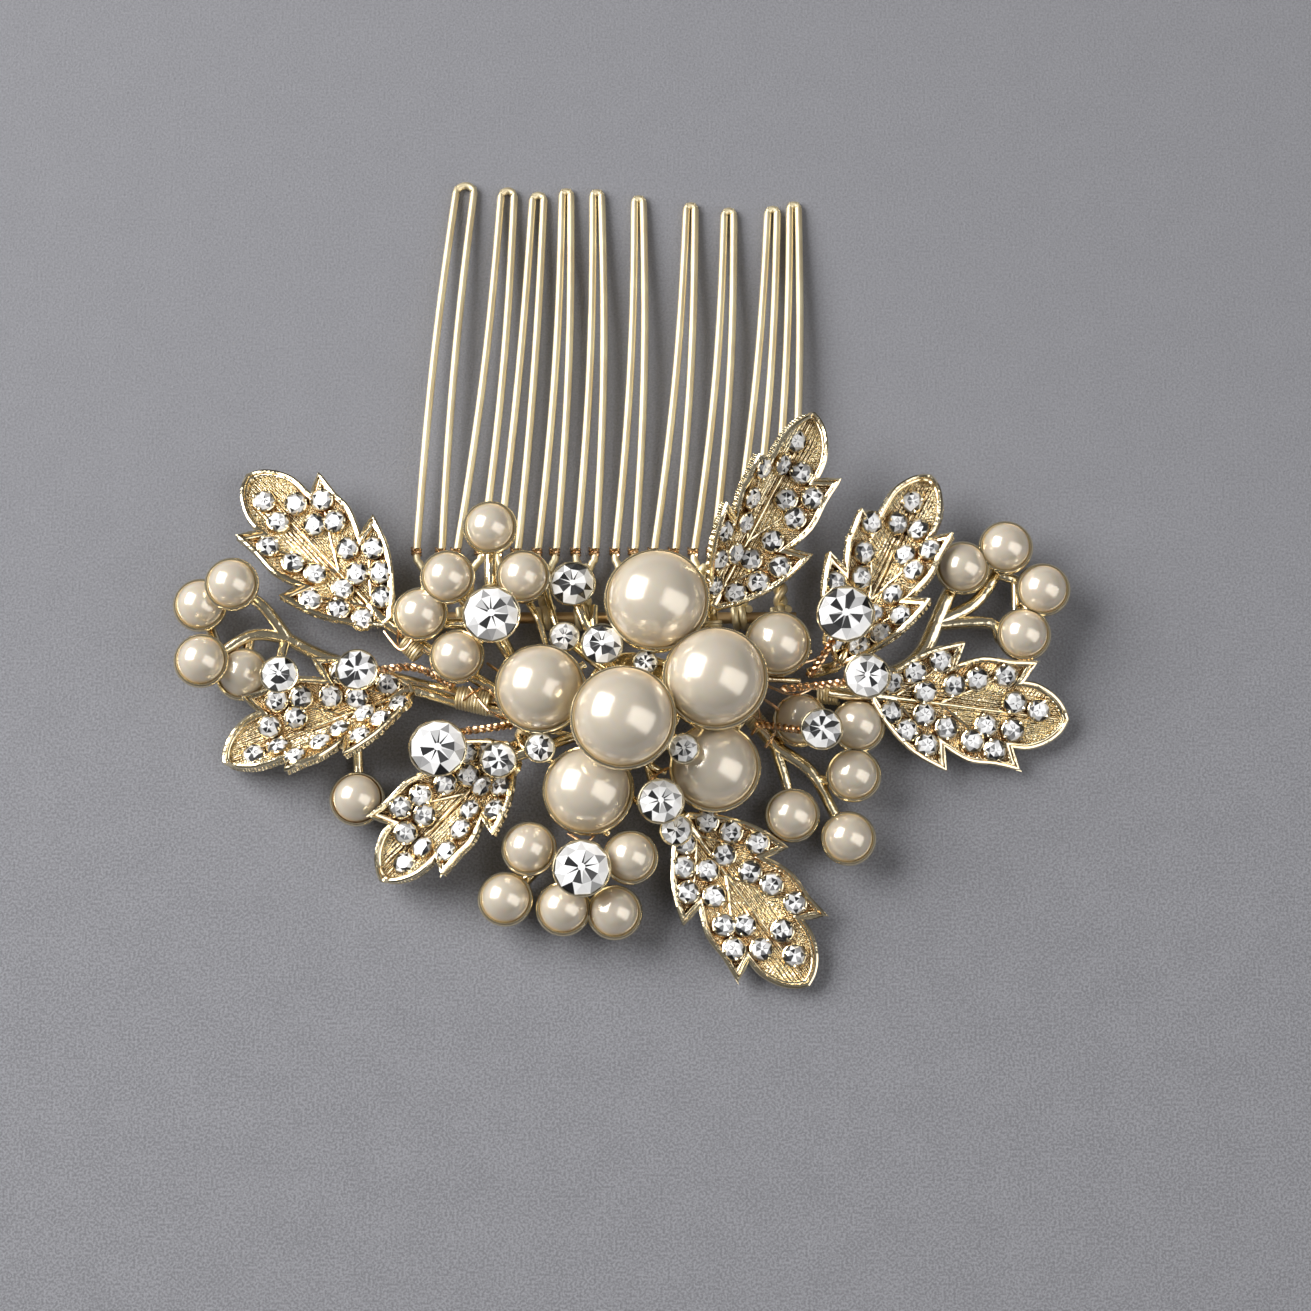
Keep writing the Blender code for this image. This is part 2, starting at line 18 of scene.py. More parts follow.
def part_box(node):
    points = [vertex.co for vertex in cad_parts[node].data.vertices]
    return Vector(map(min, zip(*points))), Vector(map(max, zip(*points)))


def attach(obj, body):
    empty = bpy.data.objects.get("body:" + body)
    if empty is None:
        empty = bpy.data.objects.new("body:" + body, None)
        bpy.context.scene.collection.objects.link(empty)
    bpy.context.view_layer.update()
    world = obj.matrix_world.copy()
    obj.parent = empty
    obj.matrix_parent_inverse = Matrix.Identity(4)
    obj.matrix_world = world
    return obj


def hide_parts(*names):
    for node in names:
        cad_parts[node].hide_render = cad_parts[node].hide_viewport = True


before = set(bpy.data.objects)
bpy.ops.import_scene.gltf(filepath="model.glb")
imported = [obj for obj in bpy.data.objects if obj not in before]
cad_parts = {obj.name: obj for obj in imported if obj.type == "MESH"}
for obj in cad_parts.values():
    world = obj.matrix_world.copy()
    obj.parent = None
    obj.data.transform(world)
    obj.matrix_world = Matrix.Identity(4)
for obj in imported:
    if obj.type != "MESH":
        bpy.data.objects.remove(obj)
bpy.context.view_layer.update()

# %% [markdown]
# The comb was drawn in millimetres from a drawing origin of its own. The spine rod's middle is
# known in both places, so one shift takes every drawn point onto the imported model.

# %% From the drawing to the model
MM = 0.001
DRAWN_SPINE_MIDDLE = Vector((-1.585, -4.2, 2.0))


def middle_of(node):
    """The middle of a node's box, in metres."""
    low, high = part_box(node)
    return (Vector(low) + Vector(high)) / 2


SHIFT = middle_of("comb_spine") - DRAWN_SPINE_MIDDLE * MM


def at(point):
    """A point of the drawing, in the model's metres."""
    return Vector(point) * MM + SHIFT


def put(name, data):
    """Make an object and put it into the scene."""
    thing = bpy.data.objects.new(name, data)
    bpy.context.scene.collection.objects.link(thing)
    return thing


print("drawing origin lies at", [round(value, 5) for value in SHIFT])

# %% [markdown]
# ## Viewpoint
# The comb lies on a table and is seen from almost straight above, with the lens tipped a
# little towards the viewer's side. A long lens from half an arm's length keeps the drawing
# free of strong perspective. The lens length follows from how wide the view should be.

# %% Camera
VIEW_TILT = math.radians(15)
VIEW_DISTANCE = 0.45
VIEW_WIDTH = 0.1363
AIM = at((3.74, -7.70, 0.0))

camera_data = bpy.data.cameras.new("comb_camera")
camera_data.sensor_width = 36
camera_data.lens = camera_data.sensor_width * VIEW_DISTANCE / VIEW_WIDTH
camera_data.clip_start = 0.01
camera = put("comb_camera", camera_data)
camera.location = AIM + Vector((0, -math.sin(VIEW_TILT), math.cos(VIEW_TILT))) * VIEW_DISTANCE
camera.rotation_euler = (VIEW_TILT, 0, 0)
bpy.context.scene.camera = camera
print("lens", round(camera_data.lens, 1), "mm")

# %% [markdown]
# ## Light
# Two softboxes stand on either side, a brighter one behind to the left and a broader one in
# front to the right. On a pearl they show as two bright patches. The world stays dim, so that
# polished metal has something dark to mirror.

# %% Softboxes and world
LIGHT_DISTANCE = 0.75
SKY_STOPS = (0.05, 0.95)
LOW_SKY = (0.04, 0.038, 0.035, 1.0)
HIGH_SKY = (0.17, 0.17, 0.175, 1.0)


def softbox(name, towards, width, height, power):
    """An area light that faces the comb from a direction."""
    light = bpy.data.lights.new(name, "AREA")
    light.shape = "RECTANGLE"
    light.size = width
    light.size_y = height
    light.energy = power
    lamp = put(name, light)
    direction = Vector(towards).normalized()
    lamp.location = AIM + direction * LIGHT_DISTANCE
    lamp.rotation_euler = direction.to_track_quat("Z", "Y").to_euler()
    print(name, "at", [round(value, 2) for value in lamp.location])


softbox("key_softbox", (-0.745, 0.29, 0.60), 0.60, 0.56, 10.5)
softbox("side_softbox", (0.70, -0.27, 0.66), 0.62, 0.95, 3.6)

world = bpy.data.worlds.new("studio")
bpy.context.scene.world = world
world.use_nodes = True
sky = world.node_tree.nodes
direction = sky.new("ShaderNodeTexCoord")
height = sky.new("ShaderNodeSeparateXYZ")
shade = sky.new("ShaderNodeValToRGB")
for stop, position, colour in zip(shade.color_ramp.elements, SKY_STOPS, (LOW_SKY, HIGH_SKY)):
    stop.position = position
    stop.color = colour
for source, target in (
    (direction.outputs["Generated"], height.inputs[0]),
    (height.outputs["Z"], shade.inputs[0]),
    (shade.outputs[0], sky["Background"].inputs["Color"]),
):
    world.node_tree.links.new(source, target)
bpy.context.scene.view_settings.view_transform = "Standard"

# %% [markdown]
# ## Shader arithmetic
# A material is easier to read as a formula than as a row of nodes. `Number` wraps a socket, so
# that `1 - mask` or `height * 0.2` adds the Math nodes by itself, and `Paint.node` adds any
# other node from its type, its settings and its inputs.

# %% Number and Paint
class Number:
    """One number output of a node, with arithmetic."""

    def __init__(self, paint, socket):
        self.paint = paint
        self.socket = socket

    def math(self, operation, *numbers):
        inputs = dict(enumerate(numbers))
        return self.paint.node("ShaderNodeMath", {"operation": operation}, inputs)

    def __add__(self, other):
        return self.math("ADD", self, other)

    def __sub__(self, other):
        return self.math("SUBTRACT", self, other)

    def __rsub__(self, other):
        return self.math("SUBTRACT", other, self)

    def __mul__(self, other):
        return self.math("MULTIPLY", self, other)

    def sine(self):
        return self.math("SINE", self)

    def size(self):
        return self.math("ABSOLUTE", self)

    def ramp(self, low, high):
        """0 below low, 1 above high and smooth between."""
        settings = {"interpolation_type": "SMOOTHSTEP"}
        return self.paint.node("ShaderNodeMapRange", settings, {0: self, 1: low, 2: high})


class Paint:
    """A material under construction."""

    def __init__(self, name, **constants):
        self.material = bpy.data.materials.new(name)
        self.material.use_nodes = True
        self.tree = self.material.node_tree
        self.shader = self.tree.nodes["Principled BSDF"]
        for socket, value in constants.items():
            self.shader.inputs[socket.replace("_", " ")].default_value = value

    def node(self, kind, settings, inputs, out=0):
        """Add a node, set it up, fill or link its inputs and return one of its outputs."""
        made = self.tree.nodes.new(kind)
        for name, value in settings.items():
            setattr(made, name, value)
        for name, value in inputs.items():
            if isinstance(value, Number):
                self.tree.links.new(value.socket, made.inputs[name])
            else:
                made.inputs[name].default_value = value
        return Number(self, made.outputs[out])

    def place(self):
        """Where a point is on the object."""
        return self.node("ShaderNodeTexCoord", {}, {}, "Object")

    def noise(self, scale, detail=2.0):
        inputs = {"Vector": self.place(), "Scale": scale, "Detail": detail}
        return self.node("ShaderNodeTexNoise", {}, inputs, "Fac")

    def mix(self, factor, first, second):
        return self.node("ShaderNodeMix", {"data_type": "RGBA"}, {0: factor, 6: first, 7: second}, 2)

    def bump(self, height, distance, strength=1.0):
        inputs = {"Strength": strength, "Distance": distance, "Height": height}
        self.feed("Normal", self.node("ShaderNodeBump", {}, inputs, "Normal"))

    def feed(self, socket, value):
        self.tree.links.new(value.socket, self.shader.inputs[socket])


# %% [markdown]
# ## Finishes
# ** Wire** is drawn brass with a satin gloss and faint patches. The teeth are plated a pale
# champagne gold, the thin binding wire is rosier and sharper, and the rod under the spray gets
# a darker gold, painted shade from the spray above it. **Castings** come from a mould; in
# their hollows the gold is painted darker and warmer, painted shade and painted reflection of
# gold on gold, so the colour follows how open a spot is. Cups and bezels are polished by hand
# and get no painted shade, so they are bright all over.

# %% Gold
PALE_GOLD = (0.92, 0.82, 0.56, 1.0)
CAST_GOLD = (0.90, 0.78, 0.53, 1.0)
# Painted shade for hollows: a darker, warmer gold that stands in for shade and gold mirrored on gold.
HOLLOW_SHADE_GOLD = (0.36, 0.21, 0.075, 1.0)
ROSE_GOLD = (0.86, 0.62, 0.40, 1.0)
# Painted shade: the rod lies under the spray and gets a darker gold.
ROD_SHADE_GOLD = (0.58, 0.42, 0.23, 1.0)
PALE_PATCH = (0.84, 0.71, 0.46, 1.0)
ROSE_PATCH = (0.62, 0.38, 0.20, 1.0)
ROD_SHADE_PATCH = (0.40, 0.26, 0.13, 1.0)
HOLLOW_REACH = 0.0012  # metres from a wall at which a spot stops counting as a hollow


def wire_finish(name, colour, patch, roughness):
    paint = Paint(name, Metallic=1.0)
    patches = paint.noise(260.0, 3.0)
    paint.feed("Base Color", paint.mix(patches.ramp(0.35, 0.7), patch, colour))
    paint.feed("Roughness", patches * 0.10 + roughness)
    return paint.material


wire_gold = wire_finish("wire_gold", PALE_GOLD, PALE_PATCH, 0.47)
rose_wire = wire_finish("rose_wire", ROSE_GOLD, ROSE_PATCH, 0.14)
# The rod's wire gold is painted darker, as shade from the spray above it.
shaded_rod_gold = wire_finish("shaded_rod_gold", ROD_SHADE_GOLD, ROD_SHADE_PATCH, 0.40)


def openness(paint):
    """1 on open surfaces, towards 0 in hollows."""
    inputs = {"Distance": HOLLOW_REACH}
    return paint.node("ShaderNodeAmbientOcclusion", {"samples": 8}, inputs, "AO")


def cast_paint(name):
    paint = Paint(name, Metallic=1.0)
    # Painted shade: the gold turns darker and warmer where a spot is less open.
    open_here = openness(paint).ramp(0.15, 0.78)
    paint.feed("Base Color", paint.mix(open_here, HOLLOW_SHADE_GOLD, CAST_GOLD))
    paint.feed("Roughness", paint.noise(700.0, 3.0) * 0.16 + 0.08)
    return paint


shaded_cast = cast_paint("cast_gold")
shaded_cast.bump(shaded_cast.noise(1300.0, 3.0) + shaded_cast.noise(420.0) * 2.0, 0.0001, 0.6)
cast_gold = shaded_cast.material
polished = Paint("polished_gold", Metallic=1.0, Base_Color=CAST_GOLD)
polished.feed("Roughness", polished.noise(700.0, 3.0) * 0.14 + 0.08)
polished.bump(polished.noise(900.0, 2.0), 0.00008, 0.5)
polished_gold = polished.material

# %% [markdown]
# The field of a leaf is engraved. Fine lines run along the midrib in its middle and turn
# across it near the margins. The leaves carry a UV map with their flat drawing in centimetres,
# so the lines follow each leaf however it is folded. A fine grain breaks them up.

# %% Engraved leaf gold
LINES_PER_CM = 24.0
MARGIN = (0.16, 0.26)  # centimetres from the midrib between which the lines turn
# The leaf takes the same painted shade in its hollows as the castings.
leaf_paint = cast_paint("engraved_gold")
drawing = leaf_paint.node("ShaderNodeUVMap", {"uv_map": "flat_drawing"}, {})
along = leaf_paint.node("ShaderNodeSeparateXYZ", {}, {0: drawing}, "X")
across = leaf_paint.node("ShaderNodeSeparateXYZ", {}, {0: drawing}, "Y").size()
waver = leaf_paint.noise(500.0, 2.0) * 2.4
turn = 2 * math.pi * LINES_PER_CM
lengthwise = (across * turn + waver).sine()
crosswise = ((along - across * 0.5) * turn + waver).sine()
near_margin = across.ramp(*MARGIN)
lines = lengthwise * (1 - near_margin) + crosswise * near_margin
leaf_paint.bump(lines * 0.5 + leaf_paint.noise(1700.0, 3.0) * 3.0, 0.00018, 1.0)
engraved_gold = leaf_paint.material

# %% [markdown]
# ** Pearls** are glass beads dipped in pearl essence. The dip gives a deep, soft sheen under a
# clear gloss: a slightly metallic, cloudy base and a coat over it, with a warm sheen towards
# the edge. **Crystals** are foiled glass: a sharp gloss lies over facets that each carry a
# painted reflection, light or dark.

# %% Pearl and crystal
# Painted reflection: each facet's colour runs from a dark to a bright reflection.
DARK_FACET_REFLECTION = (0.01, 0.01, 0.012, 1.0)
BRIGHT_FACET_REFLECTION = (0.95, 0.94, 0.93, 1.0)
CREAM_DARK = (0.59, 0.52, 0.415, 1.0)
CREAM_PALE = (0.67, 0.607, 0.507, 1.0)
pearl_paint = Paint(
    "pearl",
    Metallic=0.26,
    Subsurface_Weight=0.35,
    Subsurface_Radius=(1.0, 0.6, 0.3),
    Subsurface_Scale=0.002,
    Sheen_Weight=1.0,
    Sheen_Roughness=0.35,
    Sheen_Tint=(1.0, 0.72, 0.40, 1.0),
    Specular_Tint=(0.95, 0.72, 0.42, 1.0),
    Coat_Weight=1.0,
    Coat_Roughness=0.17,
    Coat_IOR=1.75,
    IOR=1.6,
)
cloud = pearl_paint.noise(160.0, 2.0)
pearl_paint.feed("Base Color", pearl_paint.mix(cloud, CREAM_DARK, CREAM_PALE))
pearl_paint.feed("Roughness", cloud * 0.08 + 0.20)
pearl_finish = pearl_paint.material

crystal_paint = Paint("crystal", Roughness=0.25, Coat_Weight=1.0, Coat_Roughness=0.02, Coat_IOR=1.6)
# The painted reflection tone of each facet, stored on the stone meshes.
facet_reflection_tone = crystal_paint.node("ShaderNodeAttribute", {"attribute_name": "facet_reflection_tone"}, {}, "Fac")
crystal_paint.feed("Base Color", crystal_paint.mix(facet_reflection_tone, DARK_FACET_REFLECTION, BRIGHT_FACET_REFLECTION))
crystal_paint.feed("Metallic", facet_reflection_tone.ramp(0.7, 0.2) * 0.6)
crystal_finish = crystal_paint.material

# %% [markdown]
# ## Ways of making shapes
# Each piece is one bmesh that collects simple shapes and then becomes an object. `Piece` keeps
# the bmesh and the list of materials, puts the finished mesh on the root body and hides the
# imported solids it stands in for.

# %% Piece
SHARP_ANGLE = math.radians(38)
SEAM = 1e-7


class Piece:
    def __init__(self, *materials):
        self.shape = bmesh.new()
        self.materials = materials

    def add(self, mesh, matrix=None, material=None):
        """Add a copy of a mesh, moved by a matrix; a material number repaints it."""
        copy = mesh.copy()
        if matrix:
            copy.transform(matrix)
        if material is not None:
            copy.polygons.foreach_set("material_index", [material] * len(copy.polygons))
        self.shape.from_mesh(copy)
        bpy.data.meshes.remove(copy)

    def finish(self, name, slot, *nodes, facets=False):
        mesh = bpy.data.meshes.new(name)
        self.shape.to_mesh(mesh)
        self.shape.free()
        for material in self.materials:
            mesh.materials.append(material)
        if facets:
            mesh.shade_flat()
        else:
            mesh.shade_smooth()
            mesh.set_sharp_from_angle(angle=SHARP_ANGLE)
        piece = put(name, mesh)
        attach(piece, "root")
        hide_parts(*nodes)
        return piece


def mesh_of(shape):
    """Close a bmesh's seams, turn its faces outwards and return it as a mesh."""
    bmesh.ops.remove_doubles(shape, verts=shape.verts, dist=SEAM)
    bmesh.ops.recalc_face_normals(shape, faces=shape.faces)
    mesh = bpy.data.meshes.new("shape")
    shape.to_mesh(mesh)
    shape.free()
    return mesh


# %% [markdown]
# Wire is swept along a route. A route is a list of drawn points, smoothed into a curve that
# passes through all of them. For a rope, strands wind round such a route at an even pitch.
# Blender's curve bevel does the sweeping, with a flattened profile for cast bands.

# %% Routes, ropes and sweeps
def smooth(knots, steps):
    """Points on a smooth curve that passes through all the knots."""
    route = []
    for index in range(len(knots) - 1):
        start, end = knots[index], knots[index + 1]
        before = knots[max(index - 1, 0)]
        after = knots[min(index + 2, len(knots) - 1)]
        for step in range(steps):
            t = step / steps
            bend = (2 * before - 5 * start + 4 * end - after) * t**2
            twist = (3 * start - 3 * end + after - before) * t**3
            route.append((2 * start + (end - before) * t + bend + twist) / 2)
    return route + [knots[-1]]


def smooth_route(points, steps=6):
    """A smooth route in metres through drawn points."""
    return smooth([at(point) for point in points], steps)


def even_route(route, spacing):
    """The same route with points at equal distances."""
    points, carried = [route[0]], 0.0
    for start, end in zip(route, route[1:]):
        length = (end - start).length
        place = spacing - carried
        while place < length:
            points.append(start.lerp(end, place / length))
            place += spacing
        carried = length - (place - spacing)
    return points


def strands_round(route, count, offset, pitch, steps=10):
    """Routes of the strands that wind round a route, for a rope or a wrapping."""
    middle = even_route(route, pitch / steps)
    strands = [[] for _ in range(count)]
    side = (middle[1] - middle[0]).orthogonal().normalized()
    for index, point in enumerate(middle):
        ahead = middle[min(index + 1, len(middle) - 1)] - middle[max(index - 1, 0)]
        ahead.normalize()
        side = (side - ahead * side.dot(ahead)).normalized()
        up = ahead.cross(side)
        for number, strand in enumerate(strands):
            angle = 2 * math.pi * (index / steps + number / count)
            strand.append(point + (side * math.cos(angle) + up * math.sin(angle)) * offset)
    return strands


def sweep(routes, radius, sides=10, flatness=1.0, taper=1.0):
    """A mesh of wires along routes; flatness under 1 presses them flat, taper thins their end."""
    curve = bpy.data.curves.new("sweep", "CURVE")
    curve.dimensions = "3D"
    curve.use_fill_caps = True
    profile = None
    if flatness < 1.0:
        ring = bpy.data.curves.new("profile", "CURVE")
        outline = ring.splines.new("POLY")
        outline.points.add(sides - 1)
        outline.use_cyclic_u = True
        for number, knot in enumerate(outline.points):
            angle = 2 * math.pi * number / sides
            knot.co = (radius * math.cos(angle), radius * flatness * math.sin(angle), 0, 1)
        profile = put("profile", ring)
        curve.bevel_mode = "OBJECT"
        curve.bevel_object = profile
        curve.twist_mode = "Z_UP"
    else:
        curve.bevel_depth = radius
        curve.bevel_resolution = sides // 2 - 2
    for route in routes:
        spline = curve.splines.new("POLY")
        spline.points.add(len(route) - 1)
        for number, (knot, point) in enumerate(zip(spline.points, route)):
            knot.co = (*point, 1.0)
            knot.radius = 1 + (taper - 1) * number / (len(route) - 1)
    helper = put("sweep", curve)
    bpy.context.view_layer.update()
    evaluated = helper.evaluated_get(bpy.context.evaluated_depsgraph_get())
    shape = bmesh.new()
    shape.from_mesh(bpy.data.meshes.new_from_object(evaluated))
    bpy.data.objects.remove(helper, do_unlink=True)
    if profile:
        bpy.data.objects.remove(profile, do_unlink=True)
    return mesh_of(shape)


def lathe(profile, steps=32):
    """Spin drawn (radius, height) points about the upright axis."""
    shape = bmesh.new()
    points = [shape.verts.new((radius * MM, 0.0, height * MM)) for radius, height in profile]
    edges = [shape.edges.new(pair) for pair in zip(points, points[1:])]
    whole = {"cent": (0, 0, 0), "axis": (0, 0, 1), "angle": 2 * math.pi}
    bmesh.ops.spin(shape, geom=points + edges, steps=steps, use_merge=True, **whole)
    return mesh_of(shape)


def standing(point, turn=0.0):
    """Matrix that sets a shape upright at a drawn point."""
    return Matrix.Translation(at(point)) @ Matrix.Rotation(turn, 4, "Z")


# %% [markdown]
# ## The wire comb
# Every tooth is one wire, bent double. Its two ends are twisted into a short rope, which is
# then wrapped round the spine rod. So we sweep the hairpin, twist two strands for the shank
# and wind a coil round the rod. Thin rose wire binds each leg just above the join.

# %% Measures of the teeth
TOOTH_PITCH = 4.07
FIRST_TOOTH_X = -19.9
SPINE_Y, SPINE_Z = -4.2, 2.0
SPINE_RADIUS = 0.6
WIRE_RADIUS = 0.4
JOIN_Y = 1.3
LEG_FLARE = 1.3
TOOTH_BOW = 0.9
STRAND_OFFSET = 0.38
TWIST_PITCH = 2.7
WRAP_LENGTH, WRAP_TURNS = 1.6, 2
LEG_WRAP_LOW, LEG_WRAP_HIGH = 1.2, 2.0  # above the join
LEG_WRAP_WIRE, LEG_WRAP_PITCH = 0.13, 0.3
# Sideways lean of the tip, sideways bow, tip position, leg spacing at the join and at the tip.
TEETH = (
    (3.4, -0.4, 44.6, 2.6, 1.9),
    (3.8, 0.6, 44.0, 2.6, 1.4),
    (3.0, 0.4, 43.5, 2.0, 1.2),
    (1.9, 0.6, 43.9, 1.9, 0.9),
    (1.1, 0.6, 43.8, 2.0, 0.9),
    (1.5, 0.6, 43.1, 2.0, 0.9),
    (3.0, 0.6, 42.3, 2.2, 0.9),
    (3.0, 0.7, 41.7, 2.0, 1.0),
    (3.6, 0.6, 41.9, 2.0, 1.0),
    (1.8, 0.5, 42.4, 2.0, 0.9),
)


# %% Ten hairpin teeth on their rod
def hairpin(x, lean, bow, tip_y, root_gap, tip_gap):
    """Route of the wire from the join, up one leg, round the closed end and back down."""
    turn_y = tip_y - WIRE_RADIUS - tip_gap / 2
    root_y = JOIN_Y + LEG_FLARE
    leg = [(STRAND_OFFSET, JOIN_Y - 0.5), (root_gap * 0.36, JOIN_Y + 0.4)]
    for step in range(9):
        part = step / 8
        leg.append((root_gap / 2 + (tip_gap - root_gap) / 2 * part, root_y + (turn_y - root_y) * part))
    end = [
        (tip_gap / 2 * math.cos(angle), turn_y + tip_gap / 2 * math.sin(angle))
        for angle in (math.radians(degrees) for degrees in range(30, 180, 30))
    ]
    route = []
    for side, y in leg + end + [(-side, y) for side, y in reversed(leg)]:
        part = max((y - JOIN_Y) / (tip_y - JOIN_Y), 0)
        arch = math.sin(math.pi * part)
        height = SPINE_Z + (WIRE_RADIUS - SPINE_Z) * part + TOOTH_BOW * arch
        route.append((x + lean * part + bow * arch + side, y, height))
    return smooth_route(route, 3)


def leg_wraps(x, root_gap):
    """Short coils that bind both legs just above the join."""
    coils = []
    for side in (-1, 1):
        foot = x + side * root_gap * 0.48
        low = (foot, JOIN_Y + LEG_WRAP_LOW, SPINE_Z + 0.1)
        high = (foot, JOIN_Y + LEG_WRAP_HIGH, SPINE_Z + 0.15)
        leg = smooth_route((low, high), 8)
        coils += strands_round(leg, 1, (WIRE_RADIUS + 0.1) * MM, LEG_WRAP_PITCH * MM, 12)
    return sweep(coils, LEG_WRAP_WIRE * MM, 6)


def make_tooth(number, figures):
    x = FIRST_TOOTH_X + number * TOOTH_PITCH
    tooth = Piece(wire_gold, rose_wire)
    tooth.add(sweep([hairpin(x, *figures)], WIRE_RADIUS * MM, 12))
    shank = smooth_route(((x, JOIN_Y, SPINE_Z), (x, SPINE_Y + 1.2, SPINE_Z)), 8)
    strands = strands_round(shank, 2, STRAND_OFFSET * MM, TWIST_PITCH * MM, 14)
    tooth.add(sweep(strands, WIRE_RADIUS * MM, 10))
    wrap_ends = [(x + side * WRAP_LENGTH / 2, SPINE_Y, SPINE_Z) for side in (-1, 1)]
    pitch = WRAP_LENGTH / WRAP_TURNS * MM
    wraps = strands_round(smooth_route(wrap_ends, 8), 1, (SPINE_RADIUS + WIRE_RADIUS) * MM, pitch, 16)
    tooth.add(sweep(wraps, WIRE_RADIUS * 0.95 * MM, 10))
    tooth.add(leg_wraps(x, figures[3]), material=1)
    node = f"tooth_{number + 1:02d}"
    return tooth.finish(node + "_wire", "wire_gold", node)


for tooth_number, tooth_figures in enumerate(TEETH):
    tooth_piece = make_tooth(tooth_number, tooth_figures)

rod = Piece(shaded_rod_gold)
spine_low, spine_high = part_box("comb_spine")
rod_ends = [Vector((end[0], *middle_of("comb_spine")[1:])) for end in (spine_low, spine_high)]
rod.add(sweep([rod_ends], SPINE_RADIUS * MM, 20))
rod.finish("comb_spine_rod", "wire_gold", "comb_spine")
print("teeth:", len(TEETH), "faces in the last:", len(tooth_piece.data.polygons))

# %% [markdown]
# ## Pearls
# Thirty-one pearls in four sizes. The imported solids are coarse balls, so each gives only its
# place and size, and a fine ball takes its place.

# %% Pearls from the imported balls
pearl_nodes = sorted(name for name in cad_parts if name.startswith("pearl_"))
for node in pearl_nodes:
    low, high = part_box(node)
    ball = bmesh.new()
    bmesh.ops.create_uvsphere(ball, u_segments=48, v_segments=24, radius=(high[2] - low[2]) / 2)
    pearl_piece = Piece(pearl_finish)
    pearl_piece.add(mesh_of(ball), Matrix.Translation(middle_of(node)))
    pearl_piece.finish(node + "_bead", "pearl", node)
print("pearls:", len(pearl_nodes))

# %% [markdown]
# Each pearl stands in a cast cup with a thin rim. The cups of the large pearls reach almost to
# the pearl's waist, so their rims show all round as a fine gold line. A lip's height is given
# as how far it lies below the pearl's middle, as a part of the radius.

# %% Pearl cups
SEAT_GAP = 0.04
CUP_WALL = 0.42
CENTRE_LIP, SPRIG_LIP = 0.03, 0.05


def cup_mesh(diameter, lip):
    """A cup for a pearl, with its origin in the pearl's middle."""
    radius = diameter / 2
    inner = radius + SEAT_GAP
    lip_angle = math.asin(lip)
    inside = []
    for step in range(7):
        angle = lip_angle + (math.radians(88) - lip_angle) * step / 6
        inside.append((inner * math.cos(angle), -inner * math.sin(angle)))
    lip_radius, lip_height = inside[0]
    outside = [
        (0.0, -radius - 0.45),
        (radius * 0.42, -radius - 0.4),
        (radius * 0.66, -radius * 0.84),
        (lip_radius * 0.97 + CUP_WALL, lip_height - radius * 0.28),
        (lip_radius + CUP_WALL, lip_height - 0.12),
        (lip_radius + CUP_WALL * 0.92, lip_height + 0.04),
        (lip_radius + CUP_WALL * 0.66, lip_height + 0.15),
        (lip_radius + CUP_WALL * 0.34, lip_height + 0.15),
        (lip_radius + CUP_WALL * 0.08, lip_height + 0.04),
    ]
    return lathe(outside + inside + [(0.0, -inner)], 40 if diameter > 5.5 else 28)


# %% [markdown]
# ## Crystals
# A stone of this kind is a round brilliant with a mirror foil behind it. Seen from the front
# it is a star of wedges: some throw the light at the eye, others stay dark, and the pattern
# breaks at the edge of the flat table. Tracing such mirrors gives a different star for every
# small change of light, so here each facet carries a painted reflection instead: a tone from
# bright to dark, as an attribute that the material reads.

# %% Stone meshes
# All as parts of the stone's radius: the table's height, the girdle's thickness, and how wide
# the table and the small eye in its middle are.
TABLE_HEIGHT, GIRDLE = 0.24, 0.12
TABLE, EYE = 0.64, 0.14
# Ranges of painted reflection tone for bright, grey and dark facets.
BRIGHT, GREY, DARK = (0.85, 1.0), (0.35, 0.70), (0.0, 0.13)


def stone_mesh(facets, table_mix, crown_mix):
    """A brilliant of radius 1 with its girdle at height 0; the mixes are choices of tone."""
    stone = bmesh.new()
    tone = stone.faces.layers.float.new("facet_reflection_tone")

    def ring(radius, height, turn):
        spot = Matrix.Translation((0, 0, height)) @ Matrix.Rotation(turn * math.pi / facets, 4, "Z")
        return bmesh.ops.create_circle(stone, segments=facets, radius=radius, matrix=spot)["verts"]

    def band(inner, outer, turned, choices):
        """Two rings of wedges, wide outside and wide inside, each with its own mix of tones."""
        for number in range(facets):
            following = (number + 1) % facets
            corner = inner[following] if turned else inner[number]
            far = outer[number] if turned else outer[following]
            outside = stone.faces.new((corner, outer[number], outer[following]))
            inside = stone.faces.new((inner[number], far, inner[following]))
            for wedge, options in zip((outside, inside), choices):
                wedge[tone] = random.uniform(*random.choice(options))

    girdle = ring(1.0, 0.0, 1)
    table = ring(TABLE, TABLE_HEIGHT, 0)
    eye = ring(EYE, TABLE_HEIGHT, 1)
    # The eye is painted fully bright, a painted glint.
    stone.faces.new(eye)[tone] = 1.0
    band(eye, table, False, table_mix)
    band(table, girdle, True, crown_mix)
    rim = [edge for edge in stone.edges if edge.is_boundary]
    for item in bmesh.ops.extrude_edge_only(stone, edges=rim)["geom"]:
        if isinstance(item, bmesh.types.BMVert):
            item.co.z = -GIRDLE
    return mesh_of(stone)


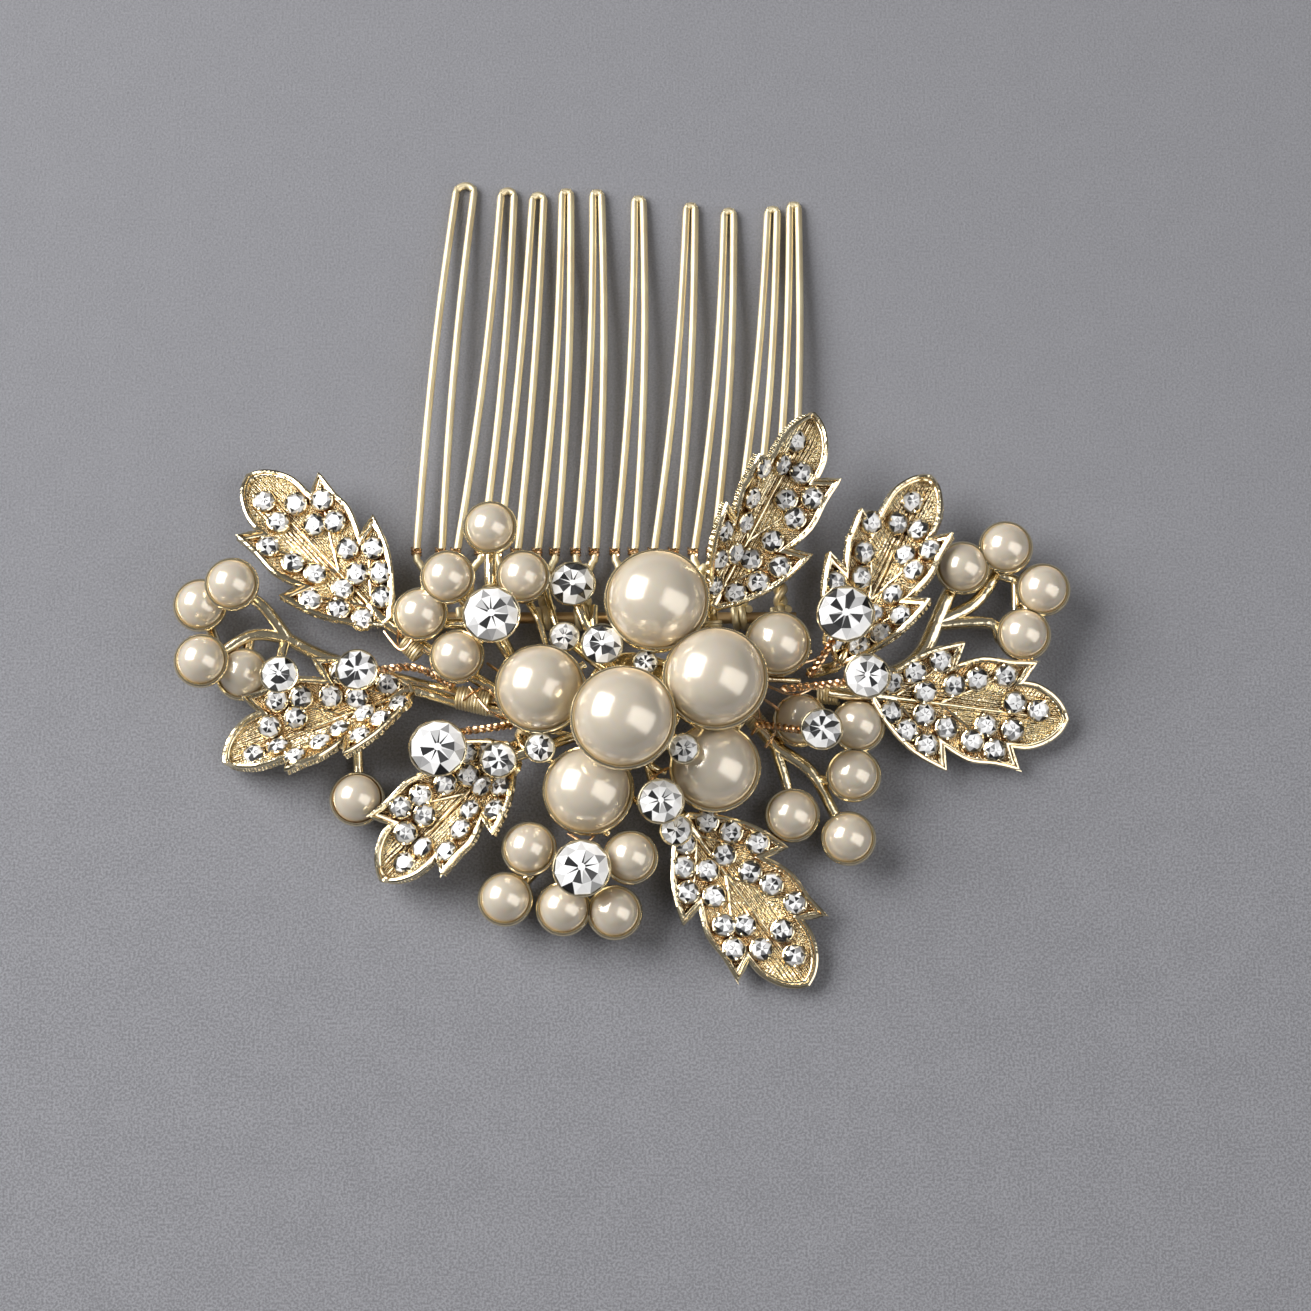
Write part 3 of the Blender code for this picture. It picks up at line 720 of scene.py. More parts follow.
random.seed(3)
LIVELY = ((BRIGHT, BRIGHT, GREY, DARK), (BRIGHT, GREY, DARK, DARK))
BROKEN = ((BRIGHT, BRIGHT, GREY, DARK), (BRIGHT, GREY, DARK))
DEEP = ((BRIGHT, GREY, DARK), (BRIGHT, GREY, DARK))
large_stones = [stone_mesh(11, LIVELY, BROKEN) for _ in range(4)]
small_stones = [stone_mesh(7, LIVELY, DEEP) for _ in range(6)]
print("facets:", len(large_stones[0].polygons), "and", len(small_stones[0].polygons))

# %% [markdown]
# A bezel is a tapered cup with a thin wall that holds the stone by its girdle.

# %% Bezel
BEZEL_WALL = 0.24
STONE_TUCK = 0.03  # how far the stone reaches into the wall
STONE_SINK = 0.05
BRIGHT_METAL = 1  # place of the polished gold in a piece's list of materials


def bezel_mesh(radius):
    stone_radius = radius - BEZEL_WALL
    depth = radius * 0.65 + 0.2
    underside = [(0.0, -depth), (radius * 0.62, -depth), (radius * 0.70, -depth * 0.86)]
    wall = [(radius * 0.97, -0.35), (radius, -0.08), (radius - 0.08, 0.06), (radius - 0.18, 0.04)]
    seat = [(stone_radius, -0.10), (stone_radius, -0.40), (0.0, -depth + 0.15)]
    return lathe(underside + wall + seat)


def set_crystal(metal, stones, radius, rim):
    """A bezel and its stone; the stone goes into the piece of stones."""
    place = standing(rim, random.uniform(0, math.pi))
    metal.add(bezel_mesh(radius), place, BRIGHT_METAL)
    sunk = Matrix.Translation((0, 0, -STONE_SINK * MM))
    size = Matrix.Scale((radius - BEZEL_WALL + STONE_TUCK) * MM, 4)
    stones.add(random.choice(large_stones), place @ sunk @ size)


# %% [markdown]
# ## Wired crystals
# Five crystals stand free on stems of twisted wire that are lashed into the spray. Each row
# below gives a bezel's radius, the middle of its rim and the route of its stem.

# %% Five crystals on twisted stems
random.seed(7)
WIRED_CRYSTALS = {
    "crystal_lower_left": (
        3.0, (-18.3, -19.8, 9.0), ((-16.6, -18.0, 7.6), (-12.6, -17.0, 6.4), (-9.4, -16.0, 4.6))
    ),
    "crystal_left": (
        2.2, (-26.8, -11.1, 7.2), ((-24.5, -10.9, 6.4), (-20.6, -10.6, 5.8), (-17.0, -12.2, 4.2))
    ),
    "crystal_lower_right": (2.2, (20.6, -17.8, 9.0), ((18.0, -17.6, 8.0), (14.0, -16.4, 5.6))),
    "crystal_right_upper": (3.0, (23.1, -6.1, 10.5), ((21.2, -9.4, 8.4), (19.4, -11.6, 6.2))),
    "crystal_right": (2.4, (25.3, -12.1, 8.5), ((22.6, -12.6, 7.5), (16.4, -13.2, 7.2))),
}
STEM_STRAND, STEM_PITCH = 0.24, 1.5

for node, (radius, rim, stem) in WIRED_CRYSTALS.items():
    setting, stones = Piece(cast_gold, polished_gold, rose_wire), Piece(crystal_finish)
    set_crystal(setting, stones, radius, rim)
    foot = (rim[0], rim[1], rim[2] - radius * 0.5)
    rope = strands_round(smooth_route((foot, *stem)), 2, STEM_STRAND * 0.9 * MM, STEM_PITCH * MM)
    setting.add(sweep(rope, STEM_STRAND * MM, 8), material=2)
    setting.finish(node + "_setting", "cast_gold", node)
    stones.finish(node + "_stone", "crystal", node, facets=True)
print("wired crystals:", len(WIRED_CRYSTALS))

# %% [markdown]
# ## Castings
# The centre casting and five sprigs are cast arms that carry pearl cups and bezels. An arm is
# a slightly flattened band that thins towards its end.

# %% Arms, cups and bezels of one casting
ARM_SWELL = 1.15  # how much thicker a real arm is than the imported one
ARM_SIDES = 14
ARM_FLATNESS, ARM_TAPER = 0.8, 0.85


def make_casting(name, arms, crystals, pearls, lip, bosses=()):
    """arms: (radius, points); crystals: (radius, rim); pearls: nodes that get a cup with this lip;
    bosses: (mesh, middle)."""
    metal = Piece(cast_gold, polished_gold)
    stones = Piece(crystal_finish)
    for radius, points in arms:
        band = sweep(
            [smooth_route(points)], radius * ARM_SWELL * MM, ARM_SIDES, ARM_FLATNESS, ARM_TAPER
        )
        metal.add(band)
    for radius, rim in crystals:
        set_crystal(metal, stones, radius, rim)
    for node in pearls:
        low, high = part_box(node)
        cup = cup_mesh((high[2] - low[2]) / MM, lip)
        metal.add(cup, Matrix.Translation(middle_of(node)), BRIGHT_METAL)
    for boss, place in bosses:
        metal.add(boss, standing(place))
    metal.finish(name + "_metal", "cast_gold", name)
    if crystals:
        stones.finish(name + "_stones", "crystal", name, facets=True)
    else:
        stones.shape.free()


# %% The centre casting
ARM, POST = 0.65, 0.55
CENTRE_ARMS = (
    (ARM, ((2.4, -10.0, 3.7), (3.6, -7.0, 4.3), (3.9, -5.0, 5.2))),
    (ARM, ((5.5, -13.4, 3.7), (8.4, -13.1, 4.4), (9.6, -13.0, 5.9))),
    (0.9, ((0.9, -16.4, 3.4), (0.5, -17.6, 7.9))),
    (ARM, ((-2.6, -13.6, 3.7), (-8.0, -13.4, 3.7))),
    (ARM, ((0.2, -17.0, 3.7), (-0.6, -19.0, 3.7), (-2.2, -21.6, 2.2), (-3.1, -23.2, 1.8))),
    (ARM, ((4.2, -16.6, 3.7), (5.6, -18.6, 3.7), (8.0, -20.2, 2.4), (9.6, -21.0, 1.8))),
    (ARM, ((5.6, -11.8, 3.7), (8.0, -10.6, 3.7), (11.0, -9.4, 3.4), (16.0, -8.2, 3.3))),
    (POST, ((-0.6, -9.6, 3.7), (-3.4, -5.6, 4.4), (-4.6, -2.2, 4.6))),
    (POST, ((-1.4, -10.2, 3.7), (-5.4, -7.4, 5.5))),
    (POST, ((-0.6, -10.6, 3.6), (-1.6, -9.1, 9.0))),
    (POST, ((2.4, -11.2, 3.6), (2.7, -10.8, 8.3))),
    (POST, ((-2.0, -16.4, 3.6), (-7.8, -19.2, 6.9))),
    (POST, ((-7.8, -19.2, 6.7), (-12.1, -20.6, 6.4))),
    (POST, ((3.6, -16.6, 3.6), (5.6, -18.6, 8.0), (6.6, -20.3, 10.4))),
    (POST, ((2.6, -18.0, 3.6), (3.7, -23.2, 5.2), (4.3, -25.4, 7.9))),
    (POST, ((4.2, -25.0, 6.6), (5.6, -27.6, 6.1))),
)
CENTRE_CRYSTALS = (
    (2.4, (-4.8, -1.7, 6.2)),
    (1.6, (-5.6, -7.4, 6.5)),
    (2.2, (-1.7, -9.2, 10.2)),
    (1.3, (2.7, -10.8, 9.0)),
    (1.9, (-12.2, -20.7, 7.6)),
    (1.6, (-8.0, -19.5, 8.0)),
    (1.6, (6.6, -20.4, 11.3)),
    (2.4, (4.3, -25.4, 9.4)),
    (1.7, (5.8, -27.8, 6.9)),
)
PLATE_RADIUS, PLATE_THICKNESS, PLATE_CHAMFER = 5.2, 1.0, 0.12
PLATE_MIDDLE = (1.4, -13.6, 3.0)
CENTRE_PEARLS = [
    node for node in pearl_nodes if node.split("_")[1] in ("large", "medium", "six")
]
plate_bottom = [(0.0, 0.0), (PLATE_RADIUS - PLATE_CHAMFER, 0.0), (PLATE_RADIUS, PLATE_CHAMFER)]
plate_top = [(radius, PLATE_THICKNESS - height) for radius, height in reversed(plate_bottom)]
plate = lathe(plate_bottom + plate_top, 40)
make_casting(
    "centre_casting", CENTRE_ARMS, CENTRE_CRYSTALS, CENTRE_PEARLS, CENTRE_LIP, [(plate, PLATE_MIDDLE)]
)
print("centre casting:", len(CENTRE_PEARLS), "pearls,", len(CENTRE_CRYSTALS), "crystals")

# %% [markdown]
# The sprigs branch like twigs. Each branch point carries the next arms, and every arm ends
# under a cup.

# %% Five sprigs
# Each arm: its radius and its route.
SPRIG_ARMS = {
    "left": (
        (0.6, ((-34.3, -6.6, 2.6), (-36.8, -3.4, 3.4), (-39.4, -1.6, 3.6))),
        (0.6, ((-34.3, -6.6, 2.6), (-38.2, -6.4, 3.0), (-42.6, -9.4, 2.9))),
        (0.55, ((-41.4, -8.0, 2.8), (-42.4, -5.4, 1.4), (-43.2, -3.4, 0.9))),
        (0.55, ((-38.2, -6.4, 2.9), (-38.9, -10.0, 0.8))),
        (0.5, ((-34.6, -7.0, 2.6), (-34.8, -9.4, 4.8), (-34.7, -11.4, 6.1))),
        (
            0.7,
            ((-8.0, -13.6, 2.6), (-13.0, -13.0, 2.2), (-20.0, -11.6, 2.0), (-30.0, -8.6, 2.0),
             (-34.3, -6.6, 2.6)),
        ),
    ),
    "upper_left": (
        (0.6, ((-13.0, -5.9, 5.2), (-13.3, 0.0, 4.9), (-13.3, 3.8, 4.9))),
        (0.6, ((-13.0, -5.9, 5.2), (-17.5, -1.8, 5.5))),
        (0.6, ((-13.0, -5.9, 5.2), (-10.1, -1.4, 4.1))),
        (0.6, ((-13.0, -5.9, 5.2), (-20.1, -5.2, 4.1))),
        (0.6, ((-13.0, -5.9, 5.2), (-16.4, -9.3, 4.1))),
        (1.0, ((-13.0, -5.9, 4.6), (-13.0, -5.9, 8.2))),
        (0.7, ((-13.0, -5.9, 4.9), (-11.0, -9.0, 3.0))),
    ),
    "right": (
        (0.9, ((20.4, -12.4, 2.0), (28.0, -10.4, 2.0), (31.1, -8.4, 2.4), (32.8, -5.0, 3.0))),
        (0.75, ((32.8, -5.0, 3.0), (34.0, -2.2, 3.2), (35.4, 0.2, 2.4))),
        (0.65, ((32.8, -5.0, 3.0), (36.8, -2.9, 3.0), (39.2, 0.6, 2.6), (40.0, 2.4, 2.3))),
        (0.55, ((39.2, 0.4, 2.6), (41.4, -0.4, 2.4), (43.5, -1.7, 1.9))),
        (0.55, ((41.2, -0.5, 2.4), (41.2, -3.4, 2.4), (41.6, -6.2, 1.9))),
        (0.6, ((33.0, -5.2, 3.0), (38.3, -5.0, 2.9), (39.6, -6.8, 2.4), (41.5, -6.6, 1.9))),
    ),
    "lower_right": (
        (0.75, ((13.2, -14.4, 2.8), (16.2, -18.2, 2.6))),
        (0.55, ((16.0, -18.0, 2.6), (17.2, -22.0, 2.0), (17.7, -25.3, 1.4))),
        (0.6, ((16.2, -18.2, 2.6), (19.6, -20.6, 2.6), (21.7, -24.2, 1.9), (23.2, -27.6, 1.4))),
        (0.55, ((20.4, -21.6, 2.5), (23.8, -21.5, 1.9))),
        (0.55, ((16.2, -18.0, 2.6), (18.5, -16.0, 1.9), (24.3, -16.4, 1.9))),
    ),
    "bottom": (
        (0.6, ((-4.0, -31.4, 3.0), (-8.8, -29.5, 2.9))),
        (0.6, ((-7.6, -30.0, 2.9), (-11.2, -33.8, 1.4))),
        (0.6, ((-4.0, -31.4, 3.0), (-5.5, -35.0, 1.4))),
        (0.6, ((-4.0, -31.4, 3.0), (-0.6, -35.4, 1.4))),
        (0.6, ((-4.0, -31.4, 3.0), (1.0, -30.4, 2.9))),
        (0.9, ((-3.8, -31.8, 2.8), (-3.7, -32.0, 6.5))),
        (0.7, ((-4.0, -31.4, 3.0), (-3.9, -29.2, 2.4))),
    ),
}
SPRIG_CRYSTALS = {
    "left": (2.0, (-34.7, -11.6, 7.2)),
    "upper_left": (3.0, (-13.0, -5.9, 9.6)),
    "bottom": (3.0, (-3.7, -32.0, 8.0)),
}
for side, arms in SPRIG_ARMS.items():
    crystals = [crystal for own, crystal in SPRIG_CRYSTALS.items() if own == side]
    own_pearls = [node for node in pearl_nodes if node[:-2] == f"pearl_{side}"]
    make_casting(f"sprig_{side}", arms, crystals, own_pearls, SPRIG_LIP)
    print("sprig", side, len(own_pearls), "pearls")

# %% [markdown]
# ## Leaves
# All seven leaves come from one mould: five pointed lobes, a raised rim, an engraved field and
# a fixed pattern of small stones. After casting, each is bent along its midrib by hand. So we
# draw one leaf flat, with its rim, and then fold it differently seven times.

# %% The flat outline
LEAF_WIDTH = 21.7  # widths below are parts of this length
REAR_LOBE = ((0.00, 0.030), (0.10, 0.140), (0.24, 0.245), (0.41, 0.310))
REAR_NOTCH = (0.385, 0.195)
FRONT_LOBE = ((0.52, 0.250), (-0.12, 0.250), (0.00, 0.262))
FRONT_NOTCH = (-0.05, 0.160)
LEAF_TIP = ((0.82, 0.155), (0.91, 0.115), (0.97, 0.060), (1.00, 0.000))
OUTLINE_STEPS = 4


def rounded(points):
    """Points on a smooth curve through flat points, without the last one."""
    route = smooth([Vector((x, y, 0)) for x, y in points], OUTLINE_STEPS)
    return [(point.x, point.y) for point in route[:-1]]


def half_outline(reach):
    """One half of the outline from stalk to tip; reach is where its front lobe ends."""
    front = [FRONT_LOBE[0]] + [(reach + along, across) for along, across in FRONT_LOBE[1:]]
    notch = (reach + FRONT_NOTCH[0], FRONT_NOTCH[1])
    outline = rounded(REAR_LOBE)
    outline += rounded([REAR_LOBE[-1], REAR_NOTCH])[::2]
    outline += rounded([REAR_NOTCH] + front)
    outline += rounded([front[-1], notch])[::2]
    outline += rounded([notch] + list(LEAF_TIP))
    return outline


print("points in half an outline:", len(half_outline(0.78)))

# %% [markdown]
# The rim is an inset band, and the field inside it is sunk a little. Cutting the flat leaf
# along and across gives it enough points to bend. `Fold` is the bend itself: it takes a point
# of the flat leaf to its place in the spray, turning up each half about the midrib. Each leaf
# has a base and a tip, for its left and right half a fold in degrees and a reach, and a point
# where its stalk ends. The wall round the edge has the engraved finish too, which breaks glare.

# %% Flat blade and fold
LEAF_THICKNESS = 0.8
RIM_WIDTH = 0.5
RIM_ROUNDING = 0.13
SHARP_RIM = math.radians(35)
FIELD_DEPTH, FIELD_WALL = 0.38, 0.14
FOLD_SOFTNESS = 1.3
CUTS_ALONG = (-3.6, -2.4, -1.3, -0.9, -0.45, 0.0, 0.45, 0.9, 1.3, 2.4, 3.6)
CUT_SPACING = 2
ENGRAVED = 1  # place of the engraved gold in a leaf's list of materials
LEAVES = {
    "leaf_upper_left": (
        (-24.0, -5.3, 4.2), (-38.8, 10.9, 2.6), (15, 0.78), (15, 0.75), (-9.6, -14.2, 3.4)
    ),
    "leaf_lower_left": (
        (-21.3, -12.3, 3.2), (-40.6, -19.4, 1.4), (40, 0.71), (10, 0.80), (-9.6, -15.2, 3.0)
    ),
    "leaf_bottom_left": (
        (-11.0, -18.6, 4.0), (-24.2, -32.0, 2.2), (32, 0.75), (22, 0.80), (-9.6, -16.8, 2.8)
    ),
    "leaf_bottom_right": (
        (6.6, -26.0, 4.2), (19.2, -42.6, 1.0), (5, 0.78), (5, 0.78), (5.4, -23.6, 3.2)
    ),
    "leaf_top_right": (
        (9.6, -4.0, 5.6), (20.2, 15.8, 8.4), (60, 0.68), (5, 0.78), (9.8, -7.0, 4.9)
    ),
    "leaf_upper_right": (
        (22.6, -9.9, 5.2), (32.3, 10.2, 4.6), (30, 0.67), (28, 0.75), (19.4, -10.6, 3.6)
    ),
    "leaf_right": (
        (26.0, -13.3, 5.2), (46.1, -15.0, 1.4), (25, 0.79), (-12, 0.78), (21.4, -12.9, 5.2)
    ),
}


class Fold:
    """The bend that takes a flat leaf, drawn in millimetres, to its place in the spray."""

    def __init__(self, base, tip, left, right):
        self.base = Vector(base)
        self.along = (Vector(tip) - self.base).normalized()
        self.across = Vector((0, 0, 1)).cross(self.along).normalized()
        self.up = self.along.cross(self.across)
        self.length = (Vector(tip) - self.base).length
        self.angles = {1: math.radians(left), -1: math.radians(right)}

    def frame_at(self, y):
        """Directions across and up on the folded leaf at a distance from the midrib."""
        side = 1 if y >= 0 else -1
        ease = min(abs(y) / FOLD_SOFTNESS, 1.0)
        angle = self.angles[side] * ease * ease * (3 - 2 * ease) * side
        outwards = self.across * math.cos(angle) + self.up * math.sin(angle)
        upwards = self.up * math.cos(angle) - self.across * math.sin(angle)
        return outwards, upwards

    def place(self, x, y, z):
        """Where a point of the flat leaf goes, in metres of the model."""
        outwards, upwards = self.frame_at(y)
        return at(self.base + self.along * x + outwards * y + upwards * z)

    def stone(self, x, y, z, spin):
        """Matrix for a stone that sits on the folded leaf."""
        outwards, upwards = self.frame_at(y)
        turn = Matrix((self.along, outwards, upwards)).transposed().to_4x4()
        return Matrix.Translation(self.place(x, y, z)) @ turn @ Matrix.Rotation(spin, 4, "Z")


def blade_mesh(fold, left_reach, right_reach):
    """The leaf's body, modelled flat with its rim and then folded."""
    shape = bmesh.new()
    height = LEAF_THICKNESS / 2
    right = [(x, -y) for x, y in half_outline(right_reach)]
    outline = right + [(1.0, 0.0)] + half_outline(left_reach)[::-1]
    top = shape.faces.new(
        [shape.verts.new((fold.length * x, LEAF_WIDTH * y, height)) for x, y in outline]
    )
    bmesh.ops.recalc_face_normals(shape, faces=[top])
    if top.normal.z < 0:
        top.normal_flip()
    for item in bmesh.ops.extrude_edge_only(shape, edges=top.edges[:])["geom"]:
        if isinstance(item, bmesh.types.BMVert):
            item.co.z -= LEAF_THICKNESS
        elif isinstance(item, bmesh.types.BMFace):
            item.material_index = ENGRAVED
    bottom_edges = [edge for edge in shape.edges if edge.is_boundary]
    bmesh.ops.contextual_create(shape, geom=bottom_edges)
    bmesh.ops.inset_region(shape, faces=[top], thickness=RIM_WIDTH, use_even_offset=True)
    top.material_index = ENGRAVED
    bmesh.ops.inset_region(
        shape, faces=[top], thickness=FIELD_WALL, depth=-FIELD_DEPTH, use_even_offset=False
    )
    rim_edges = [
        edge
        for edge in shape.edges
        if len(edge.link_faces) == 2
        and edge.calc_face_angle(0.0) > SHARP_RIM
        and min(vert.co.z for vert in edge.verts) > height - 0.01
    ]
    rounding = {"offset": RIM_ROUNDING, "segments": 2, "profile": 0.5, "affect": "EDGES"}
    bmesh.ops.bevel(shape, geom=rim_edges, material=-1, **rounding)
    cuts = [((0, y, 0), (0, 1, 0)) for y in CUTS_ALONG]
    cuts += [((x, 0, 0), (1, 0, 0)) for x in range(1, int(fold.length), CUT_SPACING)]
    for point, normal in cuts:
        geometry = shape.verts[:] + shape.edges[:] + shape.faces[:]
        bmesh.ops.bisect_plane(shape, geom=geometry, plane_co=point, plane_no=normal, dist=1e-4)
    drawing = shape.loops.layers.uv.new("flat_drawing")
    for face in shape.faces:
        for loop in face.loops:
            loop[drawing].uv = (loop.vert.co.x / 10, loop.vert.co.y / 10)
    for vert in shape.verts:
        vert.co = fold.place(*vert.co)
    return mesh_of(shape)


# %% [markdown]
# Along the rim runs a rounded bead, and the midrib is a tapered ridge. Both are swept wires
# that follow the folded leaf. Short veins lead from the midrib into the lobes.

# %% Rim bead and veins
RIM_BEAD = 0.26
RIM_BEAD_INSET = 0.985
MIDRIB, VEIN = 0.30, 0.21
VEINS = (((0.10, 0.0), (0.24, 0.11), (0.37, 0.24)), ((0.34, 0.0), (0.50, 0.09), (0.68, 0.20)))


def leaf_wires(fold, left_reach, right_reach):
    """The meshes of the bead along the rim, the midrib and the veins."""
    rim = half_outline(left_reach) + [(1.0, 0.0)]
    rim += [(x, -y) for x, y in half_outline(right_reach)[::-1]]
    top = LEAF_THICKNESS / 2
    edge = [fold.place(x * fold.length, y * LEAF_WIDTH * RIM_BEAD_INSET, top) for x, y in rim]
    ridge_height = top - FIELD_DEPTH
    ridge = [fold.place(fold.length * step / 20, 0.0, ridge_height) for step in range(20)]
    veins = []
    for side in (1, -1):
        for points in VEINS:
            flat = rounded(points)
            veins.append(
                [fold.place(x * fold.length, y * side * LEAF_WIDTH, ridge_height) for x, y in flat]
            )
    return (
        sweep([edge + edge[:1]], RIM_BEAD * MM, 8),
        sweep([ridge], MIDRIB * MM, 10, 1.0, 0.4),
        sweep(veins, VEIN * MM, 8, 1.0, 0.5),
    )


# %% [markdown]
# Nine stones sit on each half of a leaf. Each is held by a low ring and four tiny beads that
# the setter has pushed over its edge.

# %% Stone pattern and its seat
LEFT_STONES = (
    (0.08, 0.08), (0.19, 0.14), (0.26, 0.05), (0.31, 0.21), (0.40, 0.10),
    (0.51, 0.145), (0.65, 0.18), (0.72, 0.055), (0.85, 0.03),
)
RIGHT_STONES = (
    (0.10, 0.07), (0.19, 0.145), (0.27, 0.06), (0.30, 0.20), (0.39, 0.11),
    (0.53, 0.155), (0.59, 0.075), (0.65, 0.185), (0.73, 0.08),
)
LEAF_STONE = 1.10  # radius
BEAD = 0.24
BEAD_LIFT = 0.04

seat_ring = lathe(
    [(LEAF_STONE - 0.1, -0.50), (LEAF_STONE + 0.26, -0.50), (LEAF_STONE + 0.14, -0.02),
     (LEAF_STONE + 0.02, 0.06), (LEAF_STONE - 0.06, -0.04), (LEAF_STONE - 0.1, -0.50)],
    14,
)
bead_shape = bmesh.new()
bmesh.ops.create_icosphere(bead_shape, subdivisions=1, radius=BEAD * MM)
bead = mesh_of(bead_shape)


def set_stone(metal, stones, place):
    """A small stone with its ring and four beads."""
    metal.add(seat_ring, place)
    for quarter in range(4):
        corner = Matrix.Rotation(math.pi / 2 * quarter, 4, "Z")
        metal.add(bead, place @ corner @ Matrix.Translation((LEAF_STONE * MM, 0, BEAD_LIFT * MM)))
    stones.add(random.choice(small_stones), place @ Matrix.Scale(LEAF_STONE * MM, 4))


# %% Seven leaves
STONE_LIFT = 0.48  # height of the girdle above the sunk field
STALK_RADIUS = 0.62
STALK_START = 0.12  # how far up the leaf its stalk begins, as a part of its length
KNEE_PLACE, KNEE_DROP = 0.45, 0.6
LEAF_PEARL = 4.8
PEARL_ARM_RADIUS = 0.55
PEARL_ARM = ((-27.1, -14.4, 2.5), (-27.0, -17.0, 1.6), (-26.7, -23.2, 0.8))
random.seed(11)
for node, (base, tip, left, right, stalk_end) in LEAVES.items():
    fold = Fold(base, tip, left[0], right[0])
    metal, stones = Piece(cast_gold, engraved_gold), Piece(crystal_finish)
    metal.add(blade_mesh(fold, left[1], right[1]))
    for wires in leaf_wires(fold, left[1], right[1]):
        metal.add(wires)
    field = LEAF_THICKNESS / 2 - FIELD_DEPTH + STONE_LIFT
    pattern = [(x, y) for x, y in LEFT_STONES] + [(x, -y) for x, y in RIGHT_STONES]
    for x, y in pattern:
        spin = random.uniform(0, math.pi)
        set_stone(metal, stones, fold.stone(x * fold.length, y * LEAF_WIDTH, field, spin))
    inside = Vector(base).lerp(Vector(tip), STALK_START)
    knee = Vector(base).lerp(Vector(stalk_end), KNEE_PLACE) - Vector((0, 0, KNEE_DROP))
    stalk = smooth_route((inside, base, knee, stalk_end))
    metal.add(sweep([stalk], STALK_RADIUS * MM, ARM_SIDES, ARM_FLATNESS))
    if node == "leaf_lower_left":
        metal.add(sweep([smooth_route(PEARL_ARM)], PEARL_ARM_RADIUS * MM, ARM_SIDES, ARM_FLATNESS))
        metal.add(cup_mesh(LEAF_PEARL, SPRIG_LIP), Matrix.Translation(middle_of("pearl_leaf")))
    metal.finish(node + "_metal", "cast_gold", node)
    stones.finish(node + "_stones", "crystal", node, facets=True)
print("leaves:", len(LEAVES), "stones on each:", len(pattern))

# %% [markdown]
# ## Binding
# Everything is lashed together with thin wire. Tight coils hold stalks and arms in bundles,
# and loose ends wander between the stems. A coil is one strand wound round a short route.

# %% Coils and loose ends
BINDING_RADIUS = 0.15
BINDING_PITCH = BINDING_RADIUS * 2.1
# Each coil: its radius and the route that it is wound round.
COILS = (
    (1.15, ((-16.6, -12.9, 2.9), (-13.4, -13.7, 3.0))),
    (0.95, ((-12.0, -14.4, 3.2), (-10.2, -14.9, 3.2))),
    (0.90, ((-22.2, -7.2, 3.8), (-20.6, -8.6, 3.6))),
    (0.85, ((-9.9, -17.4, 3.2), (-9.4, -16.2, 3.0))),
    (0.75, ((-13.2, -3.2, 4.9), (-13.3, -1.6, 4.9))),
    (0.85, ((11.4, -9.3, 3.5), (13.0, -8.9, 3.4))),
    (1.05, ((20.6, -12.6, 3.6), (22.6, -12.9, 4.0))),
    (0.90, ((13.4, -14.7, 2.8), (14.6, -16.1, 2.7))),
    (0.80, ((5.6, -24.6, 3.6), (5.9, -25.6, 3.9))),
    (0.85, ((-3.9, -29.2, 2.6), (-4.0, -30.8, 2.9))),
    (0.80, ((9.7, -5.4, 5.2), (9.7, -6.6, 5.0))),
)
LOOSE_ENDS = (
    ((-24.2, -6.4, 4.8), (-22.4, -8.6, 5.6), (-21.2, -7.4, 6.2), (-22.6, -6.2, 5.4), (-22.8, -8.2, 4.0)),
    ((-16.0, -13.6, 4.2), (-13.8, -12.6, 5.4), (-11.6, -14.4, 4.6), (-10.4, -13.2, 3.6)),
    ((-15.4, -12.0, 3.6), (-13.4, -14.8, 4.8), (-11.2, -15.6, 4.2), (-9.4, -14.4, 3.4)),
    ((-13.6, -9.6, 4.0), (-11.4, -11.2, 5.2), (-9.6, -10.2, 4.6)),
    ((9.8, -8.6, 5.2), (13.4, -9.6, 6.0), (17.2, -10.2, 5.4), (20.8, -9.2, 4.8)),
    ((10.6, -13.6, 5.0), (14.2, -12.4, 6.2), (17.8, -13.6, 6.4), (20.2, -12.4, 5.8)),
    ((11.2, -15.0, 4.6), (13.2, -13.2, 5.6), (16.4, -14.8, 5.0), (17.6, -16.6, 4.2)),
    ((12.4, -12.2, 4.4), (13.8, -15.4, 5.0), (16.0, -16.6, 4.4), (15.0, -18.4, 3.6)),
    ((9.8, -10.8, 5.0), (12.4, -11.6, 5.6), (14.4, -15.0, 4.4), (13.6, -17.0, 3.2)),
    ((3.2, -22.2, 5.4), (5.2, -21.2, 6.0), (7.0, -22.8, 5.2), (6.2, -24.4, 4.6)),
    ((-5.2, -27.6, 4.2), (-3.4, -28.6, 4.8), (-2.2, -27.2, 4.0), (-3.6, -26.2, 3.2)),
)
coils = Piece(wire_gold)
for offset, points in COILS:
    turns = strands_round(smooth_route(points), 1, offset * MM, BINDING_PITCH * MM, 12)
    coils.add(sweep(turns, BINDING_RADIUS * MM, 6))
coils.finish("binding_coils", "wire_gold", "centre_casting")
loose = Piece(rose_wire)
loose.add(sweep([smooth_route(points, 8) for points in LOOSE_ENDS], BINDING_RADIUS * MM, 8))
loose.finish("binding_ends", "wire_gold", "centre_casting")
print("coils:", len(COILS), "loose ends:", len(LOOSE_ENDS))

# %% [markdown]
# Short cast twigs fill the gaps between the pearls. They lean on the cups, a little below the
# pearls' middles.

